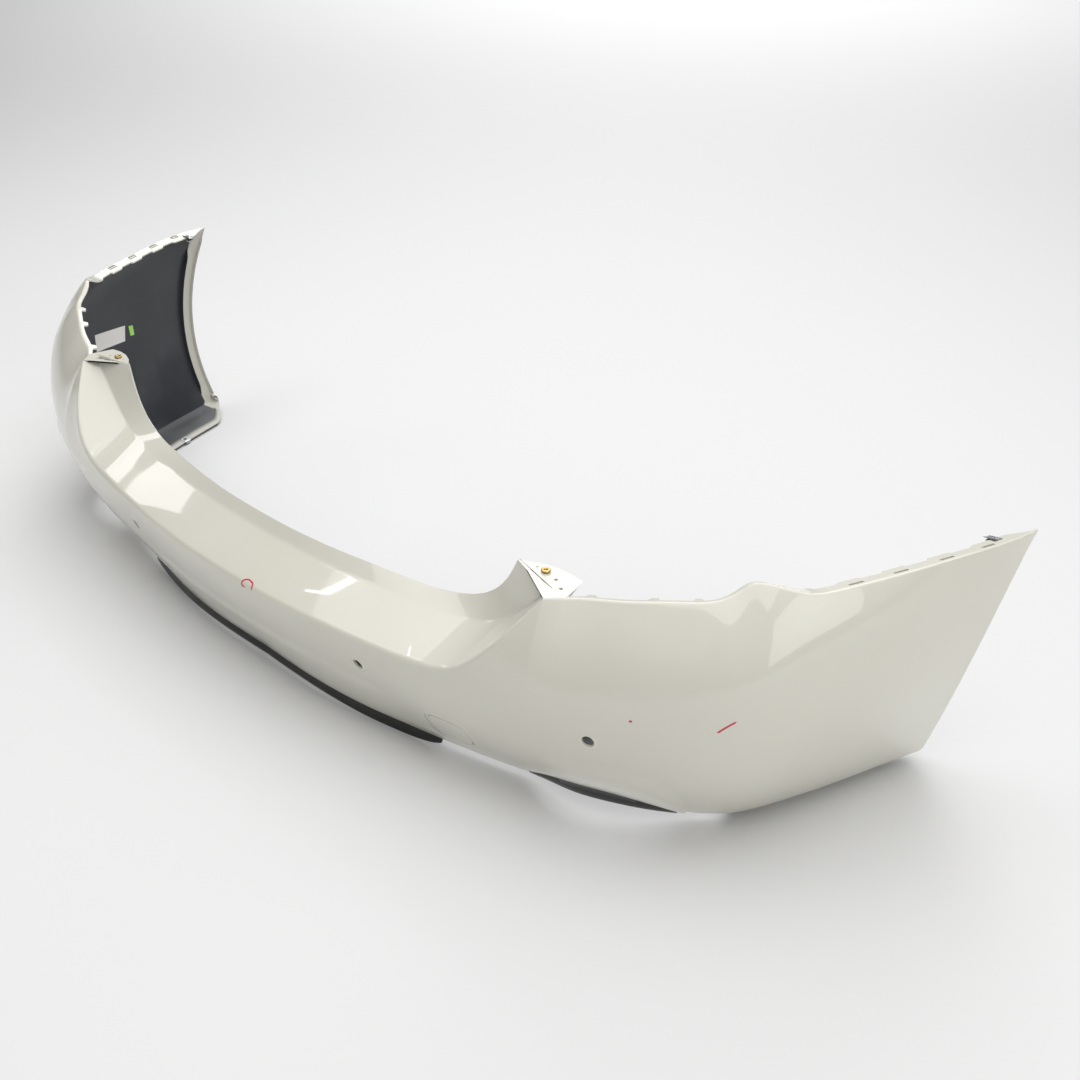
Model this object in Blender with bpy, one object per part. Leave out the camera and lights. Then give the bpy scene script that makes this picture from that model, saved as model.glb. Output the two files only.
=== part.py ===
"""Rear bumper cover of an executive saloon, as it comes off the car: the painted moulding,
its black lower trims, the towing-eye cap, sensor holders and metal fasteners.

Metres. X points right as seen from behind the car, Y forward into the car, Z up, and the
origin is under the middle of the cover on the surface that it stands on.

The moulding is a loft. A station s is the distance along the plan curve of the widest line,
from the middle of the car to the wing tip, and a point of the skin is
plan(s) + inward(s) * inset(s, z) at height z.
"""

import math

import bmesh
import bpy
import numpy as np
from mathutils import Matrix, Vector

# Driving dimensions
WALL = 0.003
GAP = 0.0005
EDGE_Z = 0.020  # painted lower edge above the ground
HORN_TOP_Z = 0.317
HORN_S = 0.556  # station where the boot step ends at the top of the horn
TAB_S = 0.582  # station where the horn's screw tab ends and the lamp cut-out begins
FENDER_S = 0.875  # station of the peak between lamp cut-out and wing flange
BEND_S = 0.85  # from here on the stations fan out towards the wheel arch
TIP_Z = 0.363
ARCH_CENTRE = (0.642, 0.115)  # wheel arch in side view: y, z
ARCH_RADIUS = 0.421
LAMP_LIP = 0.007
WING_FLANGE = 0.022
FLANGE_DROP = 0.005
REAR_SHELF = 0.016
WING_SHELF = 0.062
SHELF_FALL = 0.0165  # how far the wing shelf's inner edge comes down, so that the part stands on it

SENSOR_RADIUS = 0.008
SENSORS = {"inner": (0.280, 0.137), "outer": (0.644, 0.165)}  # station and height
CAP_STATION, CAP_Z = 0.421, 0.077
CAP_HALF_WIDTH, CAP_HALF_HEIGHT = 0.032, 0.026
CAP_GAP = 0.0008
CAP_PEG = 0.010

TRIM_END = 0.376
TRIM_WALL = 0.0025
EXHAUST_FROM, EXHAUST_TO = 0.505, 0.765
CENTRE_SCREWS = (-0.28, -0.14, 0.0, 0.14, 0.28)
EXHAUST_CELLS = (2, 9)  # the screws stand midway between these exhaust stations and the next
SCREW_INSET = 0.0105
SCREW_RADIUS = 0.0025

INSERT_AT = (0.502, -0.146)
TAB_HOLES = ((0.523, -0.150), (0.541, -0.160))
WING_CLIP_S = 1.205
SHELF_CLIP_S = 1.06
SLOT_STATIONS = (0.985, 1.047, 1.112, 1.176)

# Rails: each is a list of stations and the values there, joined by a smooth curve
PLAN = (
    (0.0, -0.302), (0.15, -0.298), (0.30, -0.281), (0.452, -0.258), (0.568, -0.234),
    (0.668, -0.198), (0.750, -0.152), (0.806, -0.093), (0.840, -0.015), (0.867, 0.077),
    (0.894, 0.192), (0.914, 0.285), (0.916, 0.336),
)
WIDEST_Z = (
    (0, 0.30, 0.42, 0.52, 0.62, 0.75, 0.90, 1.25),
    (0.179, 0.180, 0.158, 0.170, 0.181, 0.217, 0.275, 0.332),
)
TUCK = (
    (0, 0.30, 0.45, 0.55, 0.65, 0.80, 0.95, 1.10, 1.25),
    (0.0633, 0.0603, 0.0684, 0.0762, 0.0802, 0.0789, 0.0721, 0.0613, 0.0475),
)
TUCK_POWER = ((0, 0.30, 0.60, 0.90, 1.25), (1.22, 1.25, 1.47, 2.0, 2.0))
LEAN = (
    (0, 0.42, 0.50, 0.58, 0.66, 0.74, 0.80, 0.85, 0.90, 1.00, 1.15, 1.25),
    (0, 0, 0.011, 0.062, 0.067, 0.0665, 0.063, 0.066, 0.0433, 0.0214, 0.0006, -0.0015),
)
LAMP_Z = (
    (0.582, 0.62, 0.68, 0.74, 0.79, 0.82, 0.85, 0.875, 0.90, 0.925, 0.96, 1.02, 1.10, 1.20, 1.26),
    (0.317, 0.322, 0.3326, 0.3417, 0.3492, 0.3577, 0.3692, 0.3711, 0.3666, 0.3613, 0.361,
     0.3626, 0.3654, 0.3655, 0.363),
)
# The crease between step and boot flange, and the boot flange's top edge, by share of HORN_S
CREASE = (
    (0, 0.27, 0.54, 0.70, 0.80, 0.90, 1.0),
    ((0, -0.2333, 0.224), (0.15, -0.228, 0.224), (0.30, -0.211, 0.224), (0.385, -0.195, 0.225),
     (0.440, -0.184, 0.237), (0.487, -0.175, 0.270), (0.531, -0.169, 0.317)),
)
BOOT_EDGE = (
    (0, 0.27, 0.54, 0.70, 0.80, 0.90, 1.0),
    ((0, -0.2192, 0.2404), (0.14, -0.2126, 0.2404), (0.275, -0.193, 0.2404), (0.352, -0.176, 0.2405),
     (0.404, -0.165, 0.254), (0.439, -0.157, 0.283), (0.459, -0.152, 0.3215)),
)
TAB_EDGE = ((0.459, -0.152), (0.480, -0.139), (0.505, -0.130), (0.526, -0.127), (0.549, -0.129))


def spline(knots, values, at):
    """Natural cubic spline through values at knots, read at an array of places."""
    knots, values = np.asarray(knots, float), np.asarray(values, float)
    step = np.diff(knots)
    system = np.eye(len(knots))
    right = np.zeros_like(values)
    for i in range(1, len(knots) - 1):
        system[i, i - 1 : i + 2] = step[i - 1], 2 * (step[i - 1] + step[i]), step[i]
        slopes = (values[i + 1] - values[i]) / step[i], (values[i] - values[i - 1]) / step[i - 1]
        right[i] = 6 * (slopes[0] - slopes[1])
    bend = np.linalg.solve(system, right)
    at = np.clip(at, knots[0], knots[-1])
    i = np.clip(np.searchsorted(knots, at) - 1, 0, len(knots) - 2)
    wide = step[i]
    low, high = (knots[i + 1] - at) / wide, (at - knots[i]) / wide
    if values.ndim > 1:
        wide, low, high = wide[..., None], low[..., None], high[..., None]
    curve = (low**3 - low) * bend[i] + (high**3 - high) * bend[i + 1]
    return low * values[i] + high * values[i + 1] + curve * wide**2 / 6


def both_sides(knots, points):
    """The rail continued to the left half, with X mirrored."""
    knots, points = np.asarray(knots, float), np.asarray(points, float)
    mirror = np.ones(points.shape[1])
    mirror[0] = -1
    return np.r_[-knots[:0:-1], knots], np.vstack([points[:0:-1] * mirror, points])


def plan_rail():
    points = np.asarray(PLAN)
    length = np.r_[0, np.cumsum(np.linalg.norm(np.diff(points, axis=0), axis=1))]
    return both_sides(length, points)


PLAN_S, PLAN_XY = plan_rail()


def plan(s):
    """Point of the widest line and the level direction into the car there."""
    nudge = 1e-4
    s = np.clip(s, PLAN_S[0] + 2 * nudge, PLAN_S[-1] - 2 * nudge)
    along = spline(PLAN_S, PLAN_XY, s + nudge) - spline(PLAN_S, PLAN_XY, s - nudge)
    along /= np.linalg.norm(along, axis=-1, keepdims=True)
    return spline(PLAN_S, PLAN_XY, s), np.stack([-along[..., 1], along[..., 0]], -1)


def top_z(s):
    """Upper edge of the painted face: step edge, horn, lamp cut-out, wing flange."""
    s = np.abs(s)
    beyond = plan(s)[0][..., 0] - 0.45
    step = EDGE_Z + 0.159 + 0.65 * (beyond + np.sqrt(beyond**2 + 0.04**2))
    return np.where(s < TAB_S, np.minimum(step, HORN_TOP_Z), spline(*LAMP_Z, s))


def exhaust_arch(s):
    """Height of the cut-out over each exhaust pipe, above the painted lower edge."""
    middle, half = (EXHAUST_FROM + EXHAUST_TO) / 2, (EXHAUST_TO - EXHAUST_FROM) / 2
    return 0.033 * np.clip(1 - ((np.abs(s) - middle) / half) ** 2, 0, 1) ** 1.2


def smooth(value):
    value = np.clip(value, 0, 1)
    return value * value * (3 - 2 * value)


def relief(s, z):
    """Outward swell below the soft crease in the middle and around each exhaust cut-out."""
    s = np.abs(s)
    middle = 0.0025 * smooth((0.103 - z) / 0.016) * smooth((0.34 - s) / 0.12)
    height = 0.12 * np.clip(1 - np.abs((s - 0.64) / 0.13) ** 3.5, 0, 1) ** 0.5
    pod = 0.004 * smooth((height - z) / 0.016) * smooth((s - 0.54) / 0.08)
    return middle + pod * smooth((0.78 - s) / 0.02)


def inset(s, z):
    """Distance of the skin inward from the widest line: a tuck below it, a lean above it."""
    s = np.abs(s)
    widest, tuck, lean = spline(*WIDEST_Z, s), spline(*TUCK, s), spline(*LEAN, s)
    soft = 0.03
    below = np.hypot(np.maximum(widest - z, 0), soft) - soft
    full = np.hypot(np.maximum(widest - EDGE_Z, 0.001), soft) - soft
    above = np.maximum(z - widest, 0) / np.maximum(top_z(s) - widest, 0.02)
    return tuck * (below / full) ** spline(*TUCK_POWER, s) + lean * above**2 - relief(s, z)


def skin(s, z):
    """Point of the painted face at station s and height z."""
    foot, inward = plan(s)
    return np.concatenate([foot + inward * inset(s, z)[..., None], np.asarray(z)[..., None]], -1)


def inward_at(s):
    level = plan(s)[1]
    return np.concatenate([level, np.zeros_like(level[..., :1])], -1)


def arch_station(z):
    """Station at which the skin meets the wheel-arch circle at height z."""
    z = np.asarray(z, float)
    goal = ARCH_CENTRE[0] - np.sqrt(ARCH_RADIUS**2 - (z - ARCH_CENTRE[1]) ** 2)
    s = np.full(z.shape, 1.2)
    for _ in range(6):
        y = skin(s, z)[..., 1]
        s = s - (y - goal) * 0.001 / (skin(s + 0.001, z)[..., 1] - y)
    return s


TIP_S = float(arch_station(TIP_Z))


def fan(station, z):
    """True station of a grid line, which bends to follow the wheel arch near the wing's end."""
    side, station = np.sign(station), np.abs(station)
    share = np.clip((station - BEND_S) / (TIP_S - BEND_S), 0, 1)
    return side * np.where(share > 0, BEND_S + share * (arch_station(z) - BEND_S), station)


def low_z(station):
    """Painted lower edge: level, arched over the exhausts, rounded off at the wheel arch."""
    corner = np.clip((np.abs(station) - (TIP_S - 0.012)) / 0.012, 0, 1)
    return EDGE_Z + exhaust_arch(station) + 0.012 * (1 - np.sqrt(1 - corner**2))


def shelf_width(station):
    """Width of the inward flange along the lower edge."""
    s = np.abs(station)
    wing = smooth((s - 0.80) / 0.17) * smooth((TIP_S + 0.01 - s) / 0.09)
    return REAR_SHELF + (WING_SHELF - REAR_SHELF) * wing


def shelf_drop(station):
    """Fall of the lower flange from the painted edge to its inner edge."""
    return SHELF_FALL * (shelf_width(station) - REAR_SHELF) / (WING_SHELF - REAR_SHELF)


def flange_width(station):
    """Width of the inward flange along the lamp cut-out and the wing's top edge."""
    s = np.abs(station)
    wing = smooth((s - FENDER_S) / 0.04)
    tip = np.clip((TIP_S - s) / 0.045, 0.2, 1)
    tabs = sum(np.clip((0.008 - np.abs(s - at)) / 0.003, 0, 1) for at in (0.612, 0.700, 0.765))
    return (LAMP_LIP + (WING_FLANGE - LAMP_LIP) * wing) * tip + 0.008 * np.clip(tabs, 0, 1)


def top_rows(station, shares):
    """The rows beyond the painted face's upper edge, by share of the way from that edge:
    step and boot flange in the middle, screw tab on the horn, flange on lamp edge and wing."""
    rows = []
    for s in station:
        side, s = (-1 if s < 0 else 1), abs(s)
        edge = skin(fan(np.array(s), top_z(np.array(s))), top_z(np.array(s)))
        if s <= HORN_S:
            crease = spline(*both_sides(*CREASE), np.array(s / HORN_S))
            far = spline(*both_sides(*BOOT_EDGE), np.array(s / HORN_S))
            turn = 0.62 - 0.5 * smooth((s / HORN_S - 0.6) / 0.4)
            knots = np.array([0, turn, 1])
            row = np.stack([np.interp(shares_at(shares, turn), knots, line)
                            for line in np.stack([edge, crease, far], 1)], 1)
        elif s <= TAB_S + 1e-6:
            at = (s - HORN_S) / (TAB_S - HORN_S) * (len(TAB_EDGE) - 1)
            corner = np.array(TAB_EDGE)
            far = [np.interp(at, range(len(corner)), corner[:, i]) for i in (0, 1)]
            far = np.array([*far, HORN_TOP_Z + 0.0045 - 0.0045 * at / (len(TAB_EDGE) - 1)])
            row = edge + shares_at(shares, 0.12)[:, None] * (far - edge)
        else:
            true = fan(np.array(s), top_z(np.array(s)))
            drop = FLANGE_DROP * flange_width(s) / WING_FLANGE
            reach = inward_at(true) * flange_width(s) - np.array([0, 0, drop])
            row = edge + shares_at(shares, 0.5)[:, None] * reach
        rows.append(row * [side, 1, 1])
    return np.array(rows)


def shares_at(shares, turn):
    """Row shares moved so that the share 0.5 falls on the turn."""
    return np.where(shares < 0.5, shares * 2 * turn, turn + (shares - 0.5) * 2 * (1 - turn))


def outer_grid(station, face_rows, top_shares):
    """The outside of the moulding: shelf edge, painted face rows, rows beyond its top edge."""
    station = np.asarray(station)[:, None]
    low, high = low_z(station), top_z(station)
    z = low + np.linspace(0, 1, face_rows + 1)[None] * (high - low)
    true = fan(station + 0 * z, z)
    face = skin(true, z)
    shelf_at = face[:, :1] + inward_at(true[:, :1]) * shelf_width(station)[..., None]
    shelf_at[..., 2] -= shelf_drop(station)
    return np.concatenate([shelf_at, face, top_rows(station[:, 0], top_shares)], 1)


def wall(grid, thickness):
    """The grid moved inward by the wall, mitred where rows turn a corner."""
    along = np.gradient(grid, axis=0)
    run = np.diff(grid, axis=1)
    flat = [np.cross(along[:, :-1], run), np.cross(along[:, 1:], run)]
    faces = flat[0] / np.linalg.norm(flat[0], axis=-1, keepdims=True)
    faces += flat[1] / np.linalg.norm(flat[1], axis=-1, keepdims=True)
    faces /= np.linalg.norm(faces, axis=-1, keepdims=True)
    first, last = faces[:, :1], faces[:, -1:]
    before, after = np.concatenate([first, faces], 1), np.concatenate([faces, last], 1)
    share = 1 + (before * after).sum(-1, keepdims=True)
    return grid - thickness * (before + after) / np.maximum(share, 0.35)


def closed_sheet(outer, inner):
    """Vertices and quads of the solid between two like grids."""
    columns, rows = outer.shape[:2]
    number = np.arange(columns * rows).reshape(columns, rows)
    lift = columns * rows
    a, b, c, d = number[:-1, :-1], number[1:, :-1], number[1:, 1:], number[:-1, 1:]
    faces = [np.stack([a, b, c, d], -1).reshape(-1, 4)]
    faces.append(np.stack([d, c, b, a], -1).reshape(-1, 4) + lift)
    for line, turned in ((number[0], 1), (number[-1], 0), (number[:, 0], 0), (number[:, -1], 1)):
        near, far = (line[:-1], line[1:]) if turned else (line[1:], line[:-1])
        faces.append(np.stack([far, near, near + lift, far + lift], -1))
    return np.vstack([outer.reshape(-1, 3), inner.reshape(-1, 3)]), np.vstack(faces)


def finish(name):
    """Material of each kind of piece: colour, roughness, metallic."""
    kinds = {
        "paint": ((0.76, 0.75, 0.69, 1), 0.18, 0.0),
        "black": ((0.012, 0.013, 0.014, 1), 0.42, 0.0),
        "grey": ((0.07, 0.075, 0.08, 1), 0.5, 0.0),
        "zinc": ((0.62, 0.45, 0.16, 1), 0.35, 1.0),
        "steel": ((0.45, 0.46, 0.47, 1), 0.35, 1.0),
    }
    if name in bpy.data.materials:
        return bpy.data.materials[name]
    material = bpy.data.materials.new(name)
    material.use_nodes = True
    shader = material.node_tree.nodes["Principled BSDF"]
    colour, rough, metal = kinds[name]
    shader.inputs["Base Color"].default_value = colour
    shader.inputs["Roughness"].default_value = rough
    shader.inputs["Metallic"].default_value = metal
    return material


def new_object(name, mesh, kind, parent=None):
    piece = bpy.data.objects.new(name, mesh)
    bpy.context.scene.collection.objects.link(piece)
    if kind:
        mesh.materials.clear()
        mesh.materials.append(finish(kind))
    piece.parent = parent
    return piece


def mesh_of(name, points, faces):
    """A mesh with its faces pointing out."""
    mesh = bpy.data.meshes.new(name)
    mesh.from_pydata([tuple(p) for p in points], [], [tuple(f) for f in faces])
    work = bmesh.new()
    work.from_mesh(mesh)
    bmesh.ops.recalc_face_normals(work, faces=work.faces)
    work.to_mesh(mesh)
    work.free()
    return mesh


def cutter(name, mesh, place=None):
    """A helper solid that is subtracted and isn't part of the assembly."""
    tool = new_object(name, mesh, None)
    tool.matrix_world = place or Matrix()
    tool.hide_render = True
    tool.display_type = "WIRE"
    return tool


def boolean(piece, tool, operation="DIFFERENCE"):
    change = piece.modifiers.new(tool.name, "BOOLEAN")
    change.operation = operation
    change.object = tool


def cylinder_mesh(name, radius, depth, sides=16):
    mesh = bpy.data.meshes.new(name)
    work = bmesh.new()
    bmesh.ops.create_cone(work, cap_ends=True, segments=sides, radius1=radius, radius2=radius,
                          depth=depth)
    work.to_mesh(mesh)
    work.free()
    return mesh


def box_mesh(name, size, centre=(0, 0, 0)):
    mesh = bpy.data.meshes.new(name)
    work = bmesh.new()
    bmesh.ops.create_cube(work, size=1)
    bmesh.ops.scale(work, vec=size, verts=work.verts)
    bmesh.ops.translate(work, vec=centre, verts=work.verts)
    work.to_mesh(mesh)
    work.free()
    return mesh


def turned_mesh(name, profile, sides=24):
    """A ring or rivet turned about Z from its closed outline of (radius, height) points."""
    points = [(r * math.cos(a), r * math.sin(a), z)
              for a in (2 * math.pi * i / sides for i in range(sides)) for r, z in profile]
    rows = len(profile)
    faces = []
    for i in range(sides):
        for j in range(rows):
            k, m = (i + 1) % sides, (j + 1) % rows
            faces.append((i * rows + j, k * rows + j, k * rows + m, i * rows + m))
    mesh = mesh_of(name, points, faces)
    mesh.shade_smooth()
    mesh.set_sharp_from_angle(angle=math.radians(35))
    return mesh


def frame_at(s, z):
    """Place whose X runs along the skin, Y into the car square to it and Z up along it."""
    s, z = np.array(float(s)), np.array(float(z))
    side, s = (-1 if s < 0 else 1), abs(s)
    here = skin(s, z) * [side, 1, 1]
    along = (skin(s + 0.001, z) - skin(s - 0.001, z)) * [side, 1, 1] * side
    up = (skin(s, z + 0.002) - skin(s, z - 0.002)) * [side, 1, 1]
    along, up = Vector(along).normalized(), Vector(up).normalized()
    into = up.cross(along).normalized()
    along = into.cross(up)
    place = Matrix((along, into, up)).transposed().to_4x4()
    place.translation = Vector(here)
    return place


def mirrored_stations(half):
    half = np.asarray(half)
    return np.r_[-half[::-1], half[half > 0]]


def skin_stations():
    """Stations of the right half, closer together where the outline turns."""
    tabs = [at + d for at in (0.612, 0.700, 0.765) for d in (-0.008, -0.005, 0.005, 0.008)]
    runs = [
        np.linspace(0, 0.39, 11), np.linspace(0.41, 0.50, 5), np.linspace(0.515, HORN_S, 4),
        np.linspace(HORN_S, TAB_S, 5)[1:], [TAB_S + 0.001, 0.80, 0.83, 0.85], exhaust_stations(),
        tabs, np.linspace(FENDER_S, 0.915, 4), np.linspace(0.95, TIP_S - 0.012, 9),
        [TIP_S - 0.004, TIP_S],
    ]
    return np.unique(np.concatenate(runs))


def exhaust_stations():
    return np.linspace(EXHAUST_FROM + 0.012, EXHAUST_TO - 0.012, 13)


def exhaust_screws():
    stations = exhaust_stations()
    return [(stations[i] + stations[i + 1]) / 2 for i in EXHAUST_CELLS]


def arch_lip(side):
    """Inward lip along the wheel arch, 3 mm thick, standing square on the skin's inside."""
    z = np.linspace(EDGE_Z + 0.016, TIP_Z - 0.014, 12)
    edge, back = arch_station(z) - 0.0004, arch_station(z) - 0.0034
    depth = 0.011 * smooth((TIP_Z - z) / 0.05) + 0.0035
    loops = []
    for s in (edge, back):
        base = skin(s, z)
        inward = inward_at(s)
        loops.append((base + 0.001 * inward, base + depth[:, None] * inward))
    ring = np.stack([loops[0][0], loops[0][1], loops[1][1], loops[1][0]], 1) * [side, 1, 1]
    return tube_mesh("arch_lip", ring)


def tube_mesh(name, loops):
    """A solid through a run of like loops, with a face across each end."""
    count, size = loops.shape[:2]
    faces = []
    for i in range(count - 1):
        for j in range(size):
            k = (j + 1) % size
            faces.append((i * size + j, i * size + k, (i + 1) * size + k, (i + 1) * size + j))
    faces.append(tuple(range(size))[::-1])
    faces.append(tuple((count - 1) * size + j for j in range(size)))
    return mesh_of(name, loops.reshape(-1, 3), faces)


def build_skin():
    """The painted moulding with its sensor, towing-eye, screw and clip openings."""
    outer = outer_grid(mirrored_stations(skin_stations()), 7, np.array([0.25, 0.5, 0.75, 1.0]))
    points, faces = closed_sheet(outer, wall(outer, WALL))
    mesh = mesh_of("cover_skin", points, faces)
    mesh.shade_smooth()
    mesh.set_sharp_from_angle(angle=math.radians(30))
    piece = new_object("cover_skin", mesh, "paint")
    for side, hand in ((-1, "left"), (1, "right")):
        tool = cutter(f"arch_lip_{hand}", arch_lip(side))
        boolean(piece, tool, "UNION")
        for name, (s, z) in SENSORS.items():
            turn = Matrix.Rotation(math.pi / 2, 4, "X")
            tool = cutter(f"sensor_hole_{name}_{hand}", cylinder_mesh("hole", SENSOR_RADIUS, 0.03))
            tool.matrix_world = frame_at(side * s, z) @ turn
            boolean(piece, tool)
        holes = [(INSERT_AT, 0.0042), (TAB_HOLES[0], 0.0025), (TAB_HOLES[1], 0.0025)]
        for i, ((x, y), radius) in enumerate(holes):
            place = Matrix.Translation((side * x, y, HORN_TOP_Z))
            tool = cutter(f"tab_hole_{i}_{hand}", cylinder_mesh("hole", radius, 0.02, 12), place)
            boolean(piece, tool)
        for i, s in enumerate(SLOT_STATIONS):
            boolean(piece, cutter(f"slot_{i}_{hand}", box_mesh("slot", (0.020, 0.0045, 0.02)),
                                  flange_place(side, s, 0.0085)))
    for s in (*CENTRE_SCREWS, *exhaust_screws(), *(-s for s in exhaust_screws())):
        boolean(piece, screw_hole(f"screw_hole_{s:+.3f}", s))
    outline = cap_outline(CAP_GAP, 24)
    inner = np.stack([skin(s, z) for s, z in outline])
    into = np.array(frame_at(CAP_STATION, CAP_Z).to_3x3())[:, 1]
    loops = np.stack([inner - 0.02 * into, inner + 0.02 * into])
    boolean(piece, cutter("towing_eye_hole", tube_mesh("towing_eye_hole", loops)))
    return piece


def flange_place(side, s, depth):
    """Place on the wing's top flange: X along it, Y inward, Z up."""
    z = top_z(np.array(s))
    here = skin(fan(np.array(s), z), z)
    ahead = skin(fan(np.array(s + 0.002), z), top_z(np.array(s + 0.002)))
    along = Vector((ahead - here) * [side, 1, 1]).normalized()
    inward = Vector(inward_at(fan(np.array(s), z)) * [side, 1, 1])
    inward.z = -FLANGE_DROP / WING_FLANGE
    up = along.cross(inward).normalized() * side
    inward = up.cross(along).normalized() * side
    place = Matrix((along, inward, up)).transposed().to_4x4()
    place.translation = Vector(here * [side, 1, 1]) + inward * depth
    return place


def screw_place(s):
    """Place on the underside of the lower flange where a screw goes up: X runs along the
    flange between the stations on either side, Y inward and Z up square to the flange."""
    side, s = (-1 if s < 0 else 1), abs(s)
    reach = (exhaust_stations()[1] - exhaust_stations()[0]) / 2
    ends = [skin(np.array(e), low_z(np.array(e))) for e in (s - reach, s + reach)]
    along = Vector((ends[1] - ends[0]) * [side, 1, 1]).normalized() * side
    inward = Vector(inward_at(np.array(s)) * [side, 1, 1])
    up = along.cross(inward).normalized()
    inward = up.cross(along)
    place = Matrix((along, inward, up)).transposed().to_4x4()
    place.translation = Vector((ends[0] + ends[1]) / 2 * [side, 1, 1]) + inward * SCREW_INSET
    return place


def screw_hole(name, s, radius=SCREW_RADIUS + 0.0005):
    return cutter(name, cylinder_mesh("hole", radius, 0.016, 12), screw_place(s))


def cap_outline(grow, count):
    """Stations and heights round the towing-eye cap: a rectangle with well rounded corners."""
    turn = np.linspace(0, 2 * math.pi, count, endpoint=False)
    across, up = np.cos(turn), np.sin(turn)
    swell = (np.abs(across) ** 4 + np.abs(up) ** 4) ** -0.25
    s = CAP_STATION + (CAP_HALF_WIDTH + grow) * across * swell
    z = CAP_Z + (CAP_HALF_HEIGHT + grow) * up * swell + 0.15 * across * swell * 0.02
    return np.stack([s, z], 1)


def build_cap():
    """The towing-eye cap: a patch of the same surface with a pull peg behind it, which swings
    out about a tether along its inner edge."""
    edge = cap_outline(0, 24)
    centre = np.array([CAP_STATION, CAP_Z])
    rings = [centre + (edge - centre) * share for share in (0.34, 0.67, 1.0)]
    outer = [skin(np.array(centre[0]), np.array(centre[1]))]
    outer += [skin(s, z) for ring in rings for s, z in ring]
    outer = np.array(outer)
    into = np.array(frame_at(CAP_STATION, CAP_Z).to_3x3())[:, 1]
    points = np.vstack([outer, outer + WALL * into])
    count, lift = len(edge), len(outer)
    faces = []
    for j in range(count):
        k = (j + 1) % count
        faces.append((0, 1 + j, 1 + k))
        for ring in range(2):
            low, high = 1 + ring * count, 1 + (ring + 1) * count
            faces.append((low + j, high + j, high + k, low + k))
    faces += [tuple(lift + v for v in face[::-1]) for face in faces]
    rim = 1 + 2 * count
    for j in range(count):
        k = (j + 1) % count
        faces.append((rim + j, rim + j + lift, rim + k + lift, rim + k))
    hinge_low = skin(np.array(CAP_STATION - CAP_HALF_WIDTH), np.array(CAP_Z - 0.02)) - 0.0006 * into
    hinge_high = skin(np.array(CAP_STATION - CAP_HALF_WIDTH), np.array(CAP_Z + 0.02)) - 0.0006 * into
    axis = bpy.data.objects.new("cap_hinge_axis", None)
    bpy.context.scene.collection.objects.link(axis)
    lean = Vector(hinge_high - hinge_low).to_track_quat("Z", "X")
    axis.matrix_world = Matrix.LocRotScale((hinge_low + hinge_high) / 2, lean, None)
    piece = new_object("tow_eye_cap", mesh_of("tow_eye_cap", points, faces), "paint", axis)
    piece.matrix_parent_inverse = axis.matrix_world.inverted()
    turn = Matrix.Rotation(math.pi / 2, 4, "X")
    place = frame_at(CAP_STATION, CAP_Z) @ Matrix.Translation((0, CAP_PEG / 2 + 0.002, 0)) @ turn
    peg = cutter("cap_peg", cylinder_mesh("peg", 0.006, CAP_PEG, 12), place)
    boolean(piece, peg, "UNION")
    return axis


def centre_trim_low(s):
    """Lower edge of the black strip: nearly level, curving up to the paint at each end."""
    end = np.clip((np.abs(s) - 0.30) / (TRIM_END - 0.30), 0, 1)
    return 0.003 * smooth((0.28 - np.abs(s)) / 0.2) + (EDGE_Z - 0.004) * (1 - np.sqrt(1 - end**2.2))


def trim_mesh(name, stations, low, set_in, foot_set_in):
    """A strip that hangs from a flange under the painted edge: a flat top flange and a web."""
    loops = []
    for s in stations:
        side, s = (-1 if s < 0 else 1), abs(s)
        top = float(low_z(np.array(s))) - GAP
        foot = min(low(s), top - TRIM_WALL - 0.0006)
        edge = skin(np.array(s), np.array(top + GAP))[:2]
        inward = inward_at(np.array(s))[:2]
        outline = [(set_in, top), (foot_set_in, foot), (foot_set_in + TRIM_WALL, foot),
                   (set_in + TRIM_WALL, top - TRIM_WALL), (REAR_SHELF, top - TRIM_WALL),
                   (REAR_SHELF, top)]
        loops.append([(*(edge + inward * depth) * [side, 1], z) for depth, z in outline])
    return tube_mesh(name, np.array(loops))


def build_centre_trim():
    half = np.r_[np.linspace(0, 0.28, 8), np.linspace(0.30, TRIM_END - 0.004, 6)]
    mesh = trim_mesh("centre_lower_trim", mirrored_stations(half), centre_trim_low, 0.0012, 0.0012)
    piece = new_object("centre_lower_trim", mesh, "black")
    for s in CENTRE_SCREWS:
        boolean(piece, screw_hole(f"centre_trim_hole_{s:+.2f}", s))
        add_fastener(f"centre_trim_{'abcde'[CENTRE_SCREWS.index(s)]}", s)


def exhaust_trim_low(s):
    """Lower edge of the exhaust trim: half as high an arch as the paint's, and a little lower."""
    return EDGE_Z - 0.005 + 0.52 * float(exhaust_arch(np.array(s)))


def build_exhaust_trims():
    """Black trim in each exhaust cut-out, leaning inward towards its lower edge."""
    for side, hand in ((-1, "left"), (1, "right")):
        stations = side * exhaust_stations()
        mesh = trim_mesh(f"exhaust_trim_{hand}", stations, exhaust_trim_low, 0.0012, 0.0060)
        piece = new_object(f"exhaust_trim_{hand}", mesh, "black")
        for s, order in zip(exhaust_screws(), ("inner", "outer")):
            boolean(piece, screw_hole(f"exhaust_hole_{order}_{hand}", side * s))
            add_fastener(f"exhaust_trim_{hand}_{order}", side * s)


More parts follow.
